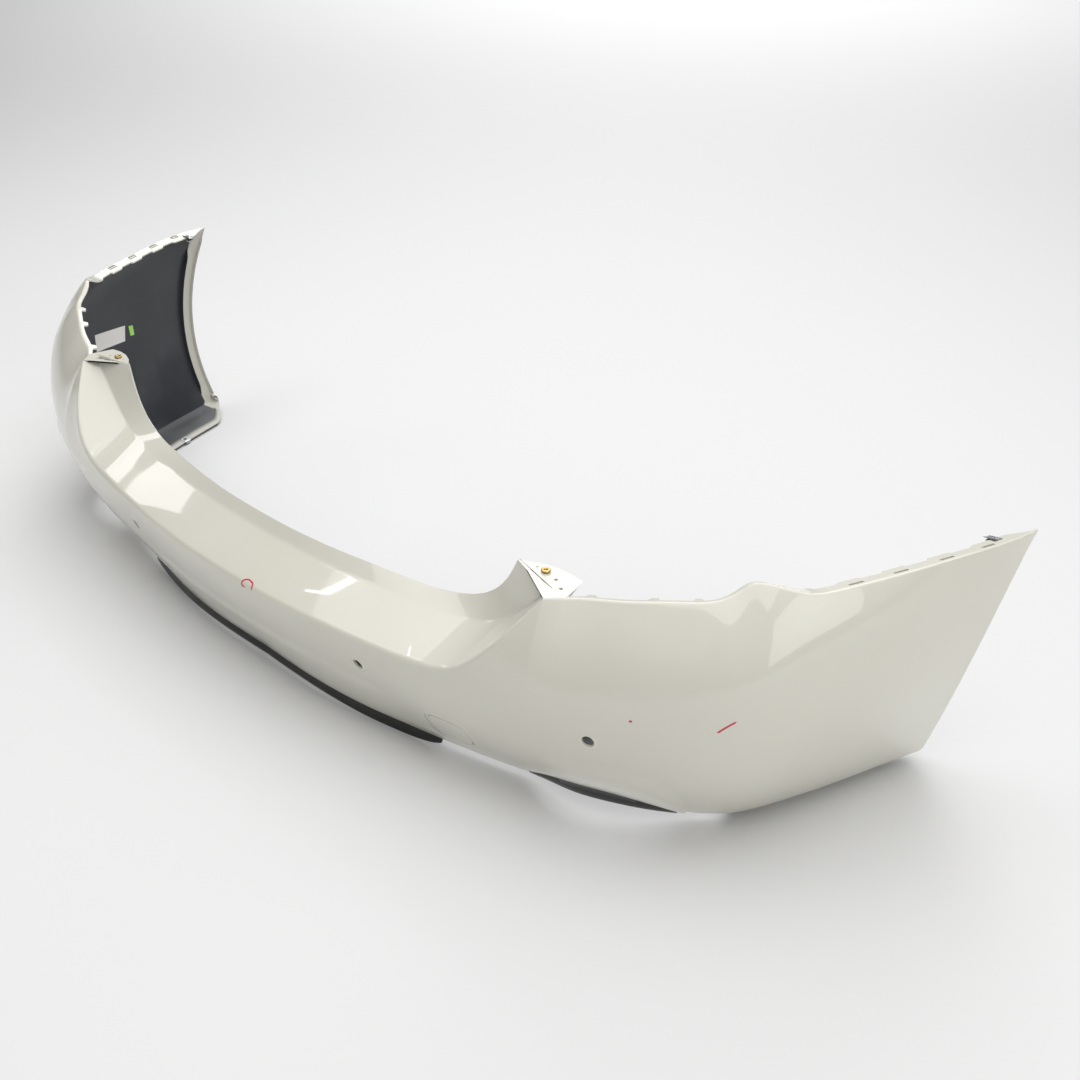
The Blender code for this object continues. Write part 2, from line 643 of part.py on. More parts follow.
def add_fastener(name, s):
    """A screw up through trim and flange, and the spring nut plate on top of the flange."""
    place = screw_place(s)
    head = -GAP - TRIM_WALL - 0.0004
    profile = [(0, head - 0.002), (0.0035, head - 0.002), (0.0045, head - 0.0008), (0.0045, head),
               (SCREW_RADIUS, head), (SCREW_RADIUS, 0.0095), (0.0012, 0.011), (0, 0.011)]
    screw = new_object(f"{name}_screw", screw_mesh(name, profile), "steel")
    screw.matrix_world = place
    nut_z = WALL + 0.0004
    plate = box_mesh("nut", (0.011, 0.009, 0.0012), (0, 0, nut_z + 0.0006))
    nut = new_object(f"{name}_nut", plate, "steel")
    nut.matrix_world = place
    boolean(nut, screw_hole(f"{name}_nut_hole", s, SCREW_RADIUS + 0.0003))


def screw_mesh(name, profile, sides=12):
    """Turned solid whose outline starts and ends on the axis."""
    inner = profile[1:-1]
    points = [(0, 0, profile[0][1])]
    for i in range(sides):
        a = 2 * math.pi * i / sides
        points += [(r * math.cos(a), r * math.sin(a), z) for r, z in inner]
    points.append((0, 0, profile[-1][1]))
    rows, last = len(inner), len(points) - 1
    faces = []
    for i in range(sides):
        k = (i + 1) % sides
        here, there = 1 + i * rows, 1 + k * rows
        faces.append((0, there, here))
        faces.append((last, here + rows - 1, there + rows - 1))
        faces += [(here + j, there + j, there + j + 1, here + j + 1) for j in range(rows - 1)]
    mesh = mesh_of(f"{name}_screw", points, faces)
    mesh.shade_smooth()
    mesh.set_sharp_from_angle(angle=math.radians(35))
    return mesh


def build_sensor_holders():
    """Ring holder behind each sensor hole, with two snap arms for the missing sensor."""
    behind = WALL + 0.0030
    ring = [(0.0088, behind), (0.0155, behind), (0.0155, behind + 0.002), (0.0118, behind + 0.002),
            (0.0118, behind + 0.013), (0.0088, behind + 0.013)]
    for side, hand in ((-1, "left"), (1, "right")):
        for name, (s, z) in SENSORS.items():
            turn = Matrix.Rotation(-math.pi / 2, 4, "X")
            place = frame_at(side * s, z)
            mesh = turned_mesh("sensor_holder", ring)
            piece = new_object(f"sensor_holder_{name}_{hand}", mesh, "grey")
            piece.matrix_world = place @ turn
            for arm in (-1, 1):
                box = box_mesh("arm", (0.004, 0.016, 0.010), (arm * 0.0130, behind + 0.0085, 0))
                boolean(piece, cutter(f"arm_{arm}_{name}_{hand}", box, place), "UNION")
            bar = box_mesh("bar", (0.003, 0.002, 0.0196), (-0.002, behind + 0.0115, 0))
            boolean(piece, cutter(f"bar_{name}_{hand}", bar, place), "UNION")


def build_horn_inserts():
    """Threaded insert pressed into each horn tab."""
    profile = [(0.0022, -0.007), (0.0038, -0.007), (0.0038, 0.0042), (0.0062, 0.0042),
               (0.0058, 0.0058), (0.0030, 0.0058), (0.0022, 0.0050)]
    for side, hand in ((-1, "left"), (1, "right")):
        piece = new_object(f"horn_insert_{hand}", turned_mesh("horn_insert", profile), "zinc")
        piece.matrix_world = Matrix.Translation((side * INSERT_AT[0], INSERT_AT[1], HORN_TOP_Z))


def clip_mesh(name, reach, wide, wall_height):
    """A sheet-metal clip bent round the edge of a flange: Y runs inward over the flange."""
    metal = 0.0008
    gap = 0.0004
    top, bottom = gap, -wall_height - gap
    outline = [(-reach, top), (gap + metal, top), (gap + metal, bottom), (-reach, bottom),
               (-reach, bottom - metal), (gap + 2 * metal, bottom - metal),
               (gap + 2 * metal, top + metal), (-reach, top + metal)]
    loops = np.array([[(x, y, z) for y, z in outline] for x in (-wide / 2, wide / 2)])
    return tube_mesh(name, loops)


def build_clips():
    """Spring clips on the wing's top flange near the tip and on the edge of the lower shelf."""
    for side, hand in ((-1, "left"), (1, "right")):
        width = float(flange_width(WING_CLIP_S))
        piece = new_object(f"wing_clip_{hand}", clip_mesh("wing_clip", 0.011, 0.018, WALL), "steel")
        piece.matrix_world = flange_place(side, WING_CLIP_S, width + 0.0006)
        at = np.array(SHELF_CLIP_S)
        z = low_z(at)
        depth = float(shelf_width(at))
        true = fan(at, z)
        here = skin(true, z) + inward_at(true) * depth
        here[2] -= float(shelf_drop(at))
        inward = inward_at(true) * [side, 1, 1]
        angle = math.atan2(-inward[0], inward[1])
        tilt = Matrix.Rotation(-math.atan(float(shelf_drop(at)) / depth), 4, "X")
        piece = new_object(f"shelf_clip_{hand}", clip_mesh("shelf_clip", 0.012, 0.014, WALL), "steel")
        lift = Matrix.Translation((0, 0.0008, WALL))
        piece.matrix_world = (Matrix.Translation(Vector(here * [side, 1, 1]))
                              @ Matrix.Rotation(angle, 4, "Z") @ tilt @ lift)


def main():
    for thing in list(bpy.data.objects):
        bpy.data.objects.remove(thing)
    bpy.context.scene.unit_settings.system = "METRIC"
    build_skin()
    build_cap()
    build_centre_trim()
    build_exhaust_trims()
    build_sensor_holders()
    build_horn_inserts()
    build_clips()
    bpy.context.view_layer.update()


main()
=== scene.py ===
"""Looks of the rear bumper cover: the painted moulding, its trims, cap, holders, clips and marks.

Metres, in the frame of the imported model: X points right as seen from behind the car, Y forward
into the car, Z up. The moulding is a loft over two parameters: a station s, the distance along
the plan curve of the widest line from the middle of the car to the wing tip, and a height z.
"""

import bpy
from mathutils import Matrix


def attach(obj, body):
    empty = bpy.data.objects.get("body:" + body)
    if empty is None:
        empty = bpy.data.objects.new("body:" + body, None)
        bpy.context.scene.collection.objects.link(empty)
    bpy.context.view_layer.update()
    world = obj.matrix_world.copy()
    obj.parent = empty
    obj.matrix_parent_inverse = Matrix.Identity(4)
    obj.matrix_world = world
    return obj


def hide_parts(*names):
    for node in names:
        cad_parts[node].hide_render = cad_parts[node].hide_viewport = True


bl_info = {
    "name": "Bumper Cover",
    "version": (1, 0, 0),
    "blender": (4, 5, 0),
    "location": "View3D > Sidebar > Bumper",
    "description": "Builds a painted rear bumper cover around its packed solids",
    "category": "Object",
}

import math

import bmesh
import bpy
import numpy as np
from mathutils import Matrix, Vector

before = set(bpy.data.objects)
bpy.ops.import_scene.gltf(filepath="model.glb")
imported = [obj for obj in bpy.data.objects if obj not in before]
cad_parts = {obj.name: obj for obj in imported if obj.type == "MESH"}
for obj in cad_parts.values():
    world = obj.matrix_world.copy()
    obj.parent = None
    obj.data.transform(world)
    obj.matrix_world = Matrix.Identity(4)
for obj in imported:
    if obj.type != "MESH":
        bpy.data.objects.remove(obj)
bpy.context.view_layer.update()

MM = 0.001
SIDES = {"left": -1, "right": 1}

# Shape of the moulding, as the solids have it
EDGE_Z = 0.020  # painted lower edge
HORN_TOP_Z = 0.317
HORN_S = 0.556  # station where the boot step ends at the top of the horn
TAB_S = 0.582  # station where the horn's screw tab ends and the lamp cut-out begins
FENDER_S = 0.875  # station of the peak between lamp cut-out and wing flange
BEND_S = 0.85  # from here on the stations fan out towards the wheel arch
TIP_Z = 0.363
ARCH_CENTRE = (0.642, 0.115)  # wheel arch in side view: y, z
ARCH_RADIUS = 0.421
FLANGE_DROP = 0.005
REAR_SHELF = 0.016
WING_SHELF = 0.062
SHELF_FALL = 0.0165
LAMP_TABS = (0.612, 0.700, 0.765)
EXHAUST_FROM, EXHAUST_TO = 0.505, 0.765
EXHAUST_MARGIN = 0.012  # left free at each end of an exhaust arch
EXHAUST_PITCH = (EXHAUST_TO - EXHAUST_FROM - 2 * EXHAUST_MARGIN) / 12
TRIM_SCREW_PITCH = 0.14
TRIM_INSET = 0.0012  # from the painted edge in to a trim strip's face
EXHAUST_FOOT_INSET = 0.0060
TRIM_END = 0.376
SENSORS = {"inner": (0.280, 0.137), "outer": (0.644, 0.165)}  # station and height
CAP_STATION, CAP_Z = 0.421, 0.077
CAP_HALF_WIDTH, CAP_HALF_HEIGHT = 0.032, 0.026
CAP_GAP = 0.0008
CAP_PAINT_DEPTH = 0.0027  # paint wraps this far round the cap's edge
INSERT_AT = (0.502, -0.146)
TAB_HOLES = ((0.523, -0.150, 0.0025), (0.541, -0.160, 0.0025), (0.487, -0.146, 0.0014))
WING_CLIP_S = 1.205
SHELF_CLIP_S = 1.06
SLOT_STATIONS = (0.985, 1.047, 1.112, 1.176)

# Paper label, sticker and marker lines: (station, height), and for the loop (station, distance
# past the step's edge)
LABEL = ((0.938, 0.2345), (1.018, 0.228), (1.009, 0.199), (0.933, 0.202))
STICKER = ((1.026, 0.224), (1.037, 0.223), (1.036, 0.204), (1.026, 0.204))
MARK_LOOP = ((0.0752, -0.0050), (0.0740, 0.0057), (0.0676, 0.0085), (0.0611, 0.0090),
             (0.0542, 0.0050), (0.0529, -0.0027), (0.0612, -0.0050))
MARK_LINE = ((0.798, 0.209), (0.808, 0.2175), (0.819, 0.225))
MARK_DASH = ((0.6945, 0.2095), (0.6965, 0.210), (0.6985, 0.2105))

# Stage: where the camera stands and how it is turned, in degrees
CAMERA_AT = (1.4955, -1.1715, 1.1723)
CAMERA_TURN = (60.488, 0.0, 44.385)

# Rails: each is a list of stations and the values there, joined by a smooth curve
PLAN = (
    (0.0, -0.302), (0.15, -0.298), (0.30, -0.281), (0.452, -0.258), (0.568, -0.234),
    (0.668, -0.198), (0.750, -0.152), (0.806, -0.093), (0.840, -0.015), (0.867, 0.077),
    (0.894, 0.192), (0.914, 0.285), (0.916, 0.336),
)
WIDEST_Z = (
    (0, 0.30, 0.42, 0.52, 0.62, 0.75, 0.90, 1.25),
    (0.179, 0.180, 0.158, 0.170, 0.181, 0.217, 0.275, 0.332),
)
TUCK = (
    (0, 0.30, 0.45, 0.55, 0.65, 0.80, 0.95, 1.10, 1.25),
    (0.0633, 0.0603, 0.0684, 0.0762, 0.0802, 0.0789, 0.0721, 0.0613, 0.0475),
)
TUCK_POWER = ((0, 0.30, 0.60, 0.90, 1.25), (1.22, 1.25, 1.47, 2.0, 2.0))
LEAN = (
    (0, 0.42, 0.50, 0.58, 0.66, 0.74, 0.80, 0.85, 0.90, 1.00, 1.15, 1.25),
    (0, 0, 0.011, 0.062, 0.067, 0.0665, 0.063, 0.066, 0.0433, 0.0214, 0.0006, -0.0015),
)
LAMP_Z = (
    (0.582, 0.62, 0.68, 0.74, 0.79, 0.82, 0.85, 0.875, 0.90, 0.925, 0.96, 1.02, 1.10, 1.20, 1.26),
    (0.317, 0.322, 0.3326, 0.3417, 0.3492, 0.3577, 0.3692, 0.3711, 0.3666, 0.3613, 0.361,
     0.3626, 0.3654, 0.3655, 0.363),
)
# The crease between step and boot flange, and the boot flange's top edge, by share of HORN_S
CREASE = (
    (0, 0.27, 0.54, 0.70, 0.80, 0.90, 1.0),
    ((0, -0.2333, 0.224), (0.15, -0.228, 0.224), (0.30, -0.211, 0.224), (0.385, -0.195, 0.225),
     (0.440, -0.184, 0.237), (0.487, -0.175, 0.270), (0.531, -0.169, 0.317)),
)
BOOT_EDGE = (
    (0, 0.27, 0.54, 0.70, 0.80, 0.90, 1.0),
    ((0, -0.2192, 0.2404), (0.14, -0.2126, 0.2404), (0.275, -0.193, 0.2404), (0.352, -0.176, 0.2405),
     (0.404, -0.165, 0.254), (0.439, -0.157, 0.283), (0.459, -0.152, 0.3215)),
)
TAB_EDGE = ((0.459, -0.152), (0.480, -0.139), (0.505, -0.130), (0.526, -0.127), (0.549, -0.129))


# ---------------------------------------------------------------- surface of the moulding


def spline(knots, values, at):
    """Natural cubic spline through values at knots: the second slopes at the knots solve a
    three-band system, and each stretch is a cubic in the shares of its two ends."""
    knots, values = np.asarray(knots, float), np.asarray(values, float)
    step = np.diff(knots)
    system = np.eye(len(knots))
    right = np.zeros_like(values)
    inner = np.arange(1, len(knots) - 1)
    system[inner, inner - 1] = step[:-1]
    system[inner, inner] = 2 * (step[:-1] + step[1:])
    system[inner, inner + 1] = step[1:]
    slopes = np.diff(values, axis=0) / (step[:, None] if values.ndim > 1 else step)
    right[1:-1] = 6 * np.diff(slopes, axis=0)
    bend = np.linalg.solve(system, right)
    at = np.clip(at, knots[0], knots[-1])
    i = np.clip(np.searchsorted(knots, at) - 1, 0, len(knots) - 2)
    wide = step[i]
    low, high = (knots[i + 1] - at) / wide, (at - knots[i]) / wide
    if values.ndim > 1:
        wide, low, high = wide[..., None], low[..., None], high[..., None]
    curve = (low**3 - low) * bend[i] + (high**3 - high) * bend[i + 1]
    return low * values[i] + high * values[i + 1] + curve * wide**2 / 6


def both_sides(knots, points):
    """The rail continued to the left half, with X mirrored."""
    knots, points = np.asarray(knots, float), np.asarray(points, float)
    mirror = np.ones(points.shape[1])
    mirror[0] = -1
    return np.r_[-knots[:0:-1], knots], np.vstack([points[:0:-1] * mirror, points])


def plan_rail():
    """The plan curve's points and the distance along it to each, by straight chords."""
    points = np.asarray(PLAN)
    length = np.r_[0, np.cumsum(np.linalg.norm(np.diff(points, axis=0), axis=1))]
    return both_sides(length, points)


PLAN_S, PLAN_XY = plan_rail()


def smooth(value):
    """Ramp from 0 to 1 with level ends: 3v^2 - 2v^3."""
    value = np.clip(value, 0, 1)
    return value * value * (3 - 2 * value)


def plan(s):
    """Point of the widest line and the level direction into the car there, which is the
    curve's own direction turned by a right angle."""
    nudge = 1e-4
    s = np.clip(s, PLAN_S[0] + 2 * nudge, PLAN_S[-1] - 2 * nudge)
    along = spline(PLAN_S, PLAN_XY, s + nudge) - spline(PLAN_S, PLAN_XY, s - nudge)
    along /= np.linalg.norm(along, axis=-1, keepdims=True)
    return spline(PLAN_S, PLAN_XY, s), np.stack([-along[..., 1], along[..., 0]], -1)


def top_z(s):
    """Upper edge of the painted face: level along the boot step, rising by a smooth bend to the
    horn, and beyond the horn the curve of lamp cut-out and wing."""
    s = np.abs(s)
    beyond = plan(s)[0][..., 0] - 0.45
    step = EDGE_Z + 0.159 + 0.65 * (beyond + np.sqrt(beyond**2 + 0.04**2))
    return np.where(s < TAB_S, np.minimum(step, HORN_TOP_Z), spline(*LAMP_Z, s))


def exhaust_arch(s):
    """Height of the cut-out over each exhaust pipe: a bell, (1 - t^2)^1.2 over its width."""
    middle, half = (EXHAUST_FROM + EXHAUST_TO) / 2, (EXHAUST_TO - EXHAUST_FROM) / 2
    return 0.033 * np.clip(1 - ((np.abs(s) - middle) / half) ** 2, 0, 1) ** 1.2


def relief(s, z):
    """Outward swell: 2.5 mm below a soft crease in the middle, and 4 mm below a round-ended
    one over each exhaust cut-out, each switched on by smooth ramps in s and z."""
    s = np.abs(s)
    middle = 0.0025 * smooth((0.103 - z) / 0.016) * smooth((0.34 - s) / 0.12)
    height = 0.12 * np.clip(1 - np.abs((s - 0.64) / 0.13) ** 3.5, 0, 1) ** 0.5
    pod = 0.004 * smooth((height - z) / 0.016) * smooth((s - 0.54) / 0.08)
    return middle + pod * smooth((0.78 - s) / 0.02)


def inset(s, z):
    """Distance of the skin inward from the widest line. Below the line it tucks under by a
    softened power of the drop, above it leans in by the square of the rise."""
    s = np.abs(s)
    widest, tuck, lean = spline(*WIDEST_Z, s), spline(*TUCK, s), spline(*LEAN, s)
    soft = 0.03
    below = np.hypot(np.maximum(widest - z, 0), soft) - soft
    full = np.hypot(np.maximum(widest - EDGE_Z, 0.001), soft) - soft
    above = np.maximum(z - widest, 0) / np.maximum(top_z(s) - widest, 0.02)
    return tuck * (below / full) ** spline(*TUCK_POWER, s) + lean * above**2 - relief(s, z)


def skin(s, z):
    """Point of the painted face: the plan curve's point at s, moved in by the inset, at z."""
    foot, inward = plan(s)
    return np.concatenate([foot + inward * inset(s, z)[..., None], np.asarray(z)[..., None]], -1)


def skin_normal(s, z):
    """Outward unit normal of the painted face, square to its two slopes."""
    along = skin(s + 5e-4, z) - skin(s - 5e-4, z)
    up = skin(s, z + 1e-3) - skin(s, z - 1e-3)
    return unit(np.cross(along, up))


def unit(vectors):
    return vectors / np.maximum(np.linalg.norm(vectors, axis=-1, keepdims=True), 1e-12)


def inward_at(s):
    level = plan(s)[1]
    return np.concatenate([level, np.zeros_like(level[..., :1])], -1)


def arch_station(z):
    """Station at which the skin meets the wheel-arch circle at height z, by Newton steps."""
    z = np.asarray(z, float)
    goal = ARCH_CENTRE[0] - np.sqrt(ARCH_RADIUS**2 - (z - ARCH_CENTRE[1]) ** 2)
    s = np.full(z.shape, 1.2)
    for _ in range(6):
        y = skin(s, z)[..., 1]
        s = s - (y - goal) * 0.001 / (skin(s + 0.001, z)[..., 1] - y)
    return s


TIP_S = float(arch_station(TIP_Z))


def fan(station, z):
    """True station of a grid line: beyond BEND_S the lines spread in proportion, so that the
    last one lies on the wheel arch at every height."""
    share = (station - BEND_S) / (TIP_S - BEND_S)
    return np.where(share > 0, BEND_S + share * (arch_station(z) - BEND_S), station)


def low_z(station):
    """Painted lower edge: level, arched over the exhausts, a quarter circle at the wheel arch."""
    corner = np.clip((np.abs(station) - (TIP_S - 0.012)) / 0.012, 0, 1)
    return EDGE_Z + exhaust_arch(station) + 0.012 * (1 - np.sqrt(1 - corner**2))


def shelf_width(station):
    """Width of the inward flange along the lower edge: narrow behind, a wide tongue in the wing."""
    s = np.abs(station)
    wing = smooth((s - 0.80) / 0.17) * smooth((TIP_S + 0.01 - s) / 0.09)
    return REAR_SHELF + (WING_SHELF - REAR_SHELF) * wing


def shelf_drop(station):
    """Fall of the lower flange from the painted edge to its inner edge."""
    return SHELF_FALL * (shelf_width(station) - REAR_SHELF) / (WING_SHELF - REAR_SHELF)


def flange_width(station, lip, wing_flange):
    """Width of the inward flange along lamp cut-out and wing: a lip with rounded locating tabs,
    a ramp up to the wing flange with stepped notches, and a taper to the tip."""
    s = np.abs(station)
    wing = smooth((s - FENDER_S) / 0.04)
    tip = np.clip((TIP_S - s) / 0.045, 0.2, 1)
    tabs = sum(smooth((0.0085 - np.abs(s - at)) / 0.0035) for at in LAMP_TABS)
    notch = sum(smooth((0.017 - np.abs(s - at)) / 0.002) for at in (0.952, 1.016, 1.080, 1.144))
    return (lip + (wing_flange - lip) * wing) * tip + 0.008 * tabs - 0.004 * notch


def beyond_top(station, edge, shape):
    """The two outer corners of each section above the painted face: crease and top edge of the
    boot flange in the middle, the screw tab on the horn, a nearly level flange beyond it."""
    share = station / HORN_S
    crease, far = spline(*both_sides(*CREASE), share), spline(*both_sides(*BOOT_EDGE), share)
    corner = np.array(TAB_EDGE)
    at = (station - HORN_S) / (TAB_S - HORN_S)
    run = np.linspace(0, 1, len(corner))
    tab = np.stack([np.interp(at, run, corner[:, 0]), np.interp(at, run, corner[:, 1]),
                    HORN_TOP_Z + 0.0045 * (1 - np.clip(at, 0, 1))], -1)
    width = flange_width(station, shape.lip_width, shape.flange_width)[:, None]
    drop = FLANGE_DROP * width / shape.flange_width
    reach = inward_at(fan(station, top_z(station))) * width - drop * np.array([0, 0, 1])
    on_step, on_tab = (station <= HORN_S)[:, None], (station <= TAB_S + 1e-6)[:, None]
    turn = np.where(on_step, crease, edge + np.where(on_tab, 0.12 * (tab - edge), 0.8 * reach))
    return turn, np.where(on_step, far, np.where(on_tab, tab, edge + reach))


FACE_ROWS = 26


def section(station, low_trim, top_trim, shape):
    """Corner points of the cross-section at each station: shelf edge, lower edge, rows of the
    painted face that stay the trims away from its two edges, upper edge and two beyond it."""
    s = station[:, None]
    low, high = low_z(s), top_z(s)
    start, stop = low + low_trim, high - top_trim[:, None]
    z = start + np.linspace(0, 1, FACE_ROWS) * (stop - start)
    z = np.concatenate([low, z, high], 1)
    face = skin(fan(s + 0 * z, z), z)
    true = fan(s, low)
    shelf = face[:, :1] + inward_at(true) * shelf_width(s)[..., None]
    shelf[..., 2] -= shelf_drop(s)
    turn, far = beyond_top(station, face[:, -1], shape)
    return np.concatenate([shelf, face, turn[:, None], far[:, None]], 1)


def offset(points, along, depth):
    """The sections moved inward square to their faces, with mitred corners: at a corner the
    move is depth (n1 + n2) / (1 + n1 . n2) for the normals n1 and n2 of the runs beside it."""
    run = np.diff(points, axis=1)
    faces = unit(unit(np.cross(along[:, :-1], run)) + unit(np.cross(along[:, 1:], run)))
    before = np.concatenate([faces[:, :1], faces], 1)
    after = np.concatenate([faces, faces[:, -1:]], 1)
    share = 1 + (before * after).sum(-1, keepdims=True)
    return points - depth[..., None] * (before + after) / np.maximum(share, 0.35)


def arc_rows(a, corner, b, count):
    """Rows of a rounded corner: the parabola from a to b that the two runs are tangent to."""
    t = np.linspace(0, 1, count)[None, :, None]
    return (1 - t) ** 2 * a[:, None] + 2 * t * (1 - t) * corner[:, None] + t**2 * b[:, None]


def towards(a, b, reach):
    """Point on the way from a to b, reach away but at most 0.45 of the way."""
    gap = b - a
    length = np.linalg.norm(gap, axis=-1)
    return a + gap * np.minimum(reach / np.maximum(length, 1e-9), 0.45)[:, None]


def rounded(points, low_reach, top_reach, turn_reach):
    """Finished rows of each section: its corners replaced by arcs, its runs subdivided."""
    shelf, low, high, turn, far = (points[:, i] for i in (0, 1, -3, -2, -1))
    on_shelf = towards(low, shelf, low_reach)
    on_top = towards(high, turn, top_reach)
    before, after = towards(turn, high, turn_reach), towards(turn, far, turn_reach)
    between = on_shelf + (shelf - on_shelf) * np.array([1, 0.97, 0.66, 0.33])[:, None, None]
    beyond = after + (far - after) * np.array([0.33, 0.66, 1])[:, None, None]
    return np.concatenate([
        between.transpose(1, 0, 2), arc_rows(on_shelf, low, points[:, 2], 5), points[:, 3:-4],
        arc_rows(points[:, -4], high, on_top, 8), (on_top + before)[:, None] / 2,
        arc_rows(before, turn, after, 6), beyond.transpose(1, 0, 2),
    ], 1)


def stations():
    """Stations of the right half, closer where the outline turns quickly."""
    return np.unique(np.concatenate([
        np.arange(0, 0.50, 0.007), np.linspace(0.50, HORN_S, 24), np.linspace(HORN_S, TAB_S, 21),
        [TAB_S + 0.0008], np.linspace(TAB_S + 0.003, 0.80, 92), np.linspace(0.804, 0.93, 36),
        np.linspace(0.932, 1.16, 92), np.linspace(1.165, TIP_S - 0.014, 20),
        np.linspace(TIP_S - 0.012, TIP_S - 0.0016, 8),
    ]))


def half_grid(shape, depth, reaches):
    """One side of the right half's wall as a grid, depth in from the painted surface. The last
    columns round the wheel-arch edge and run inward as its return lip: their depth grows along
    a quarter circle and then straight, while the inner side's columns stop a wall short of it."""
    base = stations()
    turn = np.radians([30, 60, 90])
    lip = np.linspace(0, 1, 4)[1:]
    bend = 0.0016
    if depth == 0:
        station = np.r_[base, TIP_S - bend * (1 - np.sin(turn)), np.full(3, TIP_S)]
        sink = np.r_[0 * base, bend * (1 - np.cos(turn)), bend + (shape.arch_lip - bend) * lip]
    else:
        ease = 0.02
        late = np.maximum(base - (TIP_S - ease), 0) * (ease - 0.0045) / ease
        last = np.minimum(base, TIP_S - ease) + late
        station = np.r_[last, TIP_S - np.linspace(0.0040, 0.0027, 3), np.full(3, TIP_S - 0.0026)]
        sink = depth + np.r_[0 * base, 0, 0, 0.0002, (shape.arch_lip - depth) * lip]
    low_trim = reaches[0] + 1.15 * depth
    top_trim = reaches[1] + (reaches[2] - reaches[1]) * smooth((station - 0.49) / 0.06) + 1.15 * depth
    points = section(station, low_trim, top_trim, shape)
    nudge = 4e-4
    along = section(station + nudge, low_trim, top_trim, shape)
    along = along - section(station - nudge, low_trim, top_trim, shape)
    fade = smooth((TIP_Z - 0.002 - points[..., 2]) / 0.03)
    sunk = np.where(sink[:, None] > 0.0032, 0.0032 + (sink[:, None] - 0.0032) * fade, sink[:, None])
    if (sink > 0).any():
        points = offset(points, along, sunk + 0 * points[..., 2])
    top_reach = np.minimum(top_trim, reaches[1]) - (0.6 * reaches[1] if depth else 0)
    return rounded(points, reaches[0] * (0.4 if depth else 1), np.maximum(top_reach, 0.0008),
                   reaches[3] * (0.5 if depth else 1))


def whole_grid(half):
    """The right half and its mirror image as one grid from left wing tip to right wing tip."""
    return np.concatenate([half[:0:-1] * [-1, 1, 1], half], 0)


# ---------------------------------------------------------------- mesh helpers


def grid_faces(columns, rows, closed_u=False, closed_v=False, start=0):
    """Quads between neighbouring points of a grid numbered column by column."""
    i, j = np.arange(columns if closed_u else columns - 1), np.arange(rows if closed_v else rows - 1)
    i, j = np.meshgrid(i, j, indexing="ij")
    k, m = (i + 1) % columns, (j + 1) % rows
    quads = [i * rows + j, k * rows + j, k * rows + m, i * rows + m]
    return start + np.stack(quads, -1).reshape(-1, 4)


def mesh_from(name, points, quads, materials=(), face_material=None):
    """A mesh from arrays of points and quads."""
    mesh = bpy.data.meshes.new(name)
    quads = np.asarray(quads, np.int32)
    mesh.vertices.add(len(points))
    mesh.vertices.foreach_set("co", np.asarray(points, np.float32).ravel())
    mesh.loops.add(quads.size)
    mesh.loops.foreach_set("vertex_index", quads.ravel())
    mesh.polygons.add(len(quads))
    mesh.polygons.foreach_set("loop_start", np.arange(len(quads), dtype=np.int32) * quads.shape[1])
    for material in materials:
        mesh.materials.append(material)
    if face_material is not None:
        mesh.polygons.foreach_set("material_index", np.asarray(face_material, np.int32))
    mesh.polygons.foreach_set("use_smooth", np.ones(len(quads), bool))
    mesh.update()
    mesh.validate()
    return mesh


def outward(mesh):
    """Turns the faces of a closed mesh to point out, after merging its doubled points."""
    work = bmesh.new()
    work.from_mesh(mesh)
    bmesh.ops.remove_doubles(work, verts=work.verts, dist=1e-6)
    bmesh.ops.dissolve_degenerate(work, edges=work.edges, dist=1e-7)
    bmesh.ops.recalc_face_normals(work, faces=work.faces)
    work.to_mesh(mesh)
    work.free()
    return mesh


def piece(name, mesh, body, sharp=40, replaces=()):
    """The finished object: edges sharper than the angle stay crisp, and it rides on its body."""
    mesh.name = name
    mesh.set_sharp_from_angle(angle=math.radians(sharp))
    thing = bpy.data.objects.new(name, mesh)
    bpy.context.scene.collection.objects.link(thing)
    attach(thing, body)
    if replaces:
        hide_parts(*replaces)
    return thing


def joined(meshes, name):
    """One mesh that holds the others as separate bodies."""
    work = bmesh.new()
    for mesh in meshes:
        work.from_mesh(mesh)
    mesh = bpy.data.meshes.new(name)
    work.to_mesh(mesh)
    work.free()
    for material in meshes[0].materials:
        mesh.materials.append(material)
    for old in meshes:
        bpy.data.meshes.remove(old)
    return mesh


def ring_sweep(name, loops, materials, closed=False):
    """A solid through a run of like closed loops: an array of loops by points by 3. Unless the
    run closes on itself, each end is capped by a fan to the middle of its loop."""
    count, size = loops.shape[:2]
    points = loops.reshape(-1, 3)
    faces = grid_faces(count, size, closed_u=closed, closed_v=True).tolist()
    if not closed:
        points = np.vstack([points, loops[0].mean(0), loops[-1].mean(0)])
        here, after = np.arange(size), (np.arange(size) + 1) % size
        first, last = len(points) - 2, len(points) - 1
        top = (count - 1) * size
        faces += np.stack([after, here, here * 0 + first], -1).tolist()
        faces += np.stack([top + here, top + after, here * 0 + last], -1).tolist()
    mesh = bpy.data.meshes.new(name)
    mesh.from_pydata(points.tolist(), [], faces, shade_flat=False)
    work = bmesh.new()
    work.from_mesh(mesh)
    bmesh.ops.remove_doubles(work, verts=work.verts, dist=1e-6)
    bmesh.ops.recalc_face_normals(work, faces=work.faces)
    work.to_mesh(mesh)
    work.free()
    for material in materials:
        mesh.materials.append(material)
    mesh.shade_smooth()
    return mesh


def turned(name, profile, sides, material, place):
    """A turned solid: its closed outline of (radius, height) points carried round the Z axis,
    then put in place."""
    angle = np.linspace(0, 2 * np.pi, sides, endpoint=False)[:, None]
    r, z = np.asarray(profile).T
    loops = np.stack([np.cos(angle) * r, np.sin(angle) * r, z + 0 * angle], -1)
    mesh = ring_sweep(name, loops, [material], closed=True)
    mesh.transform(place)
    return mesh


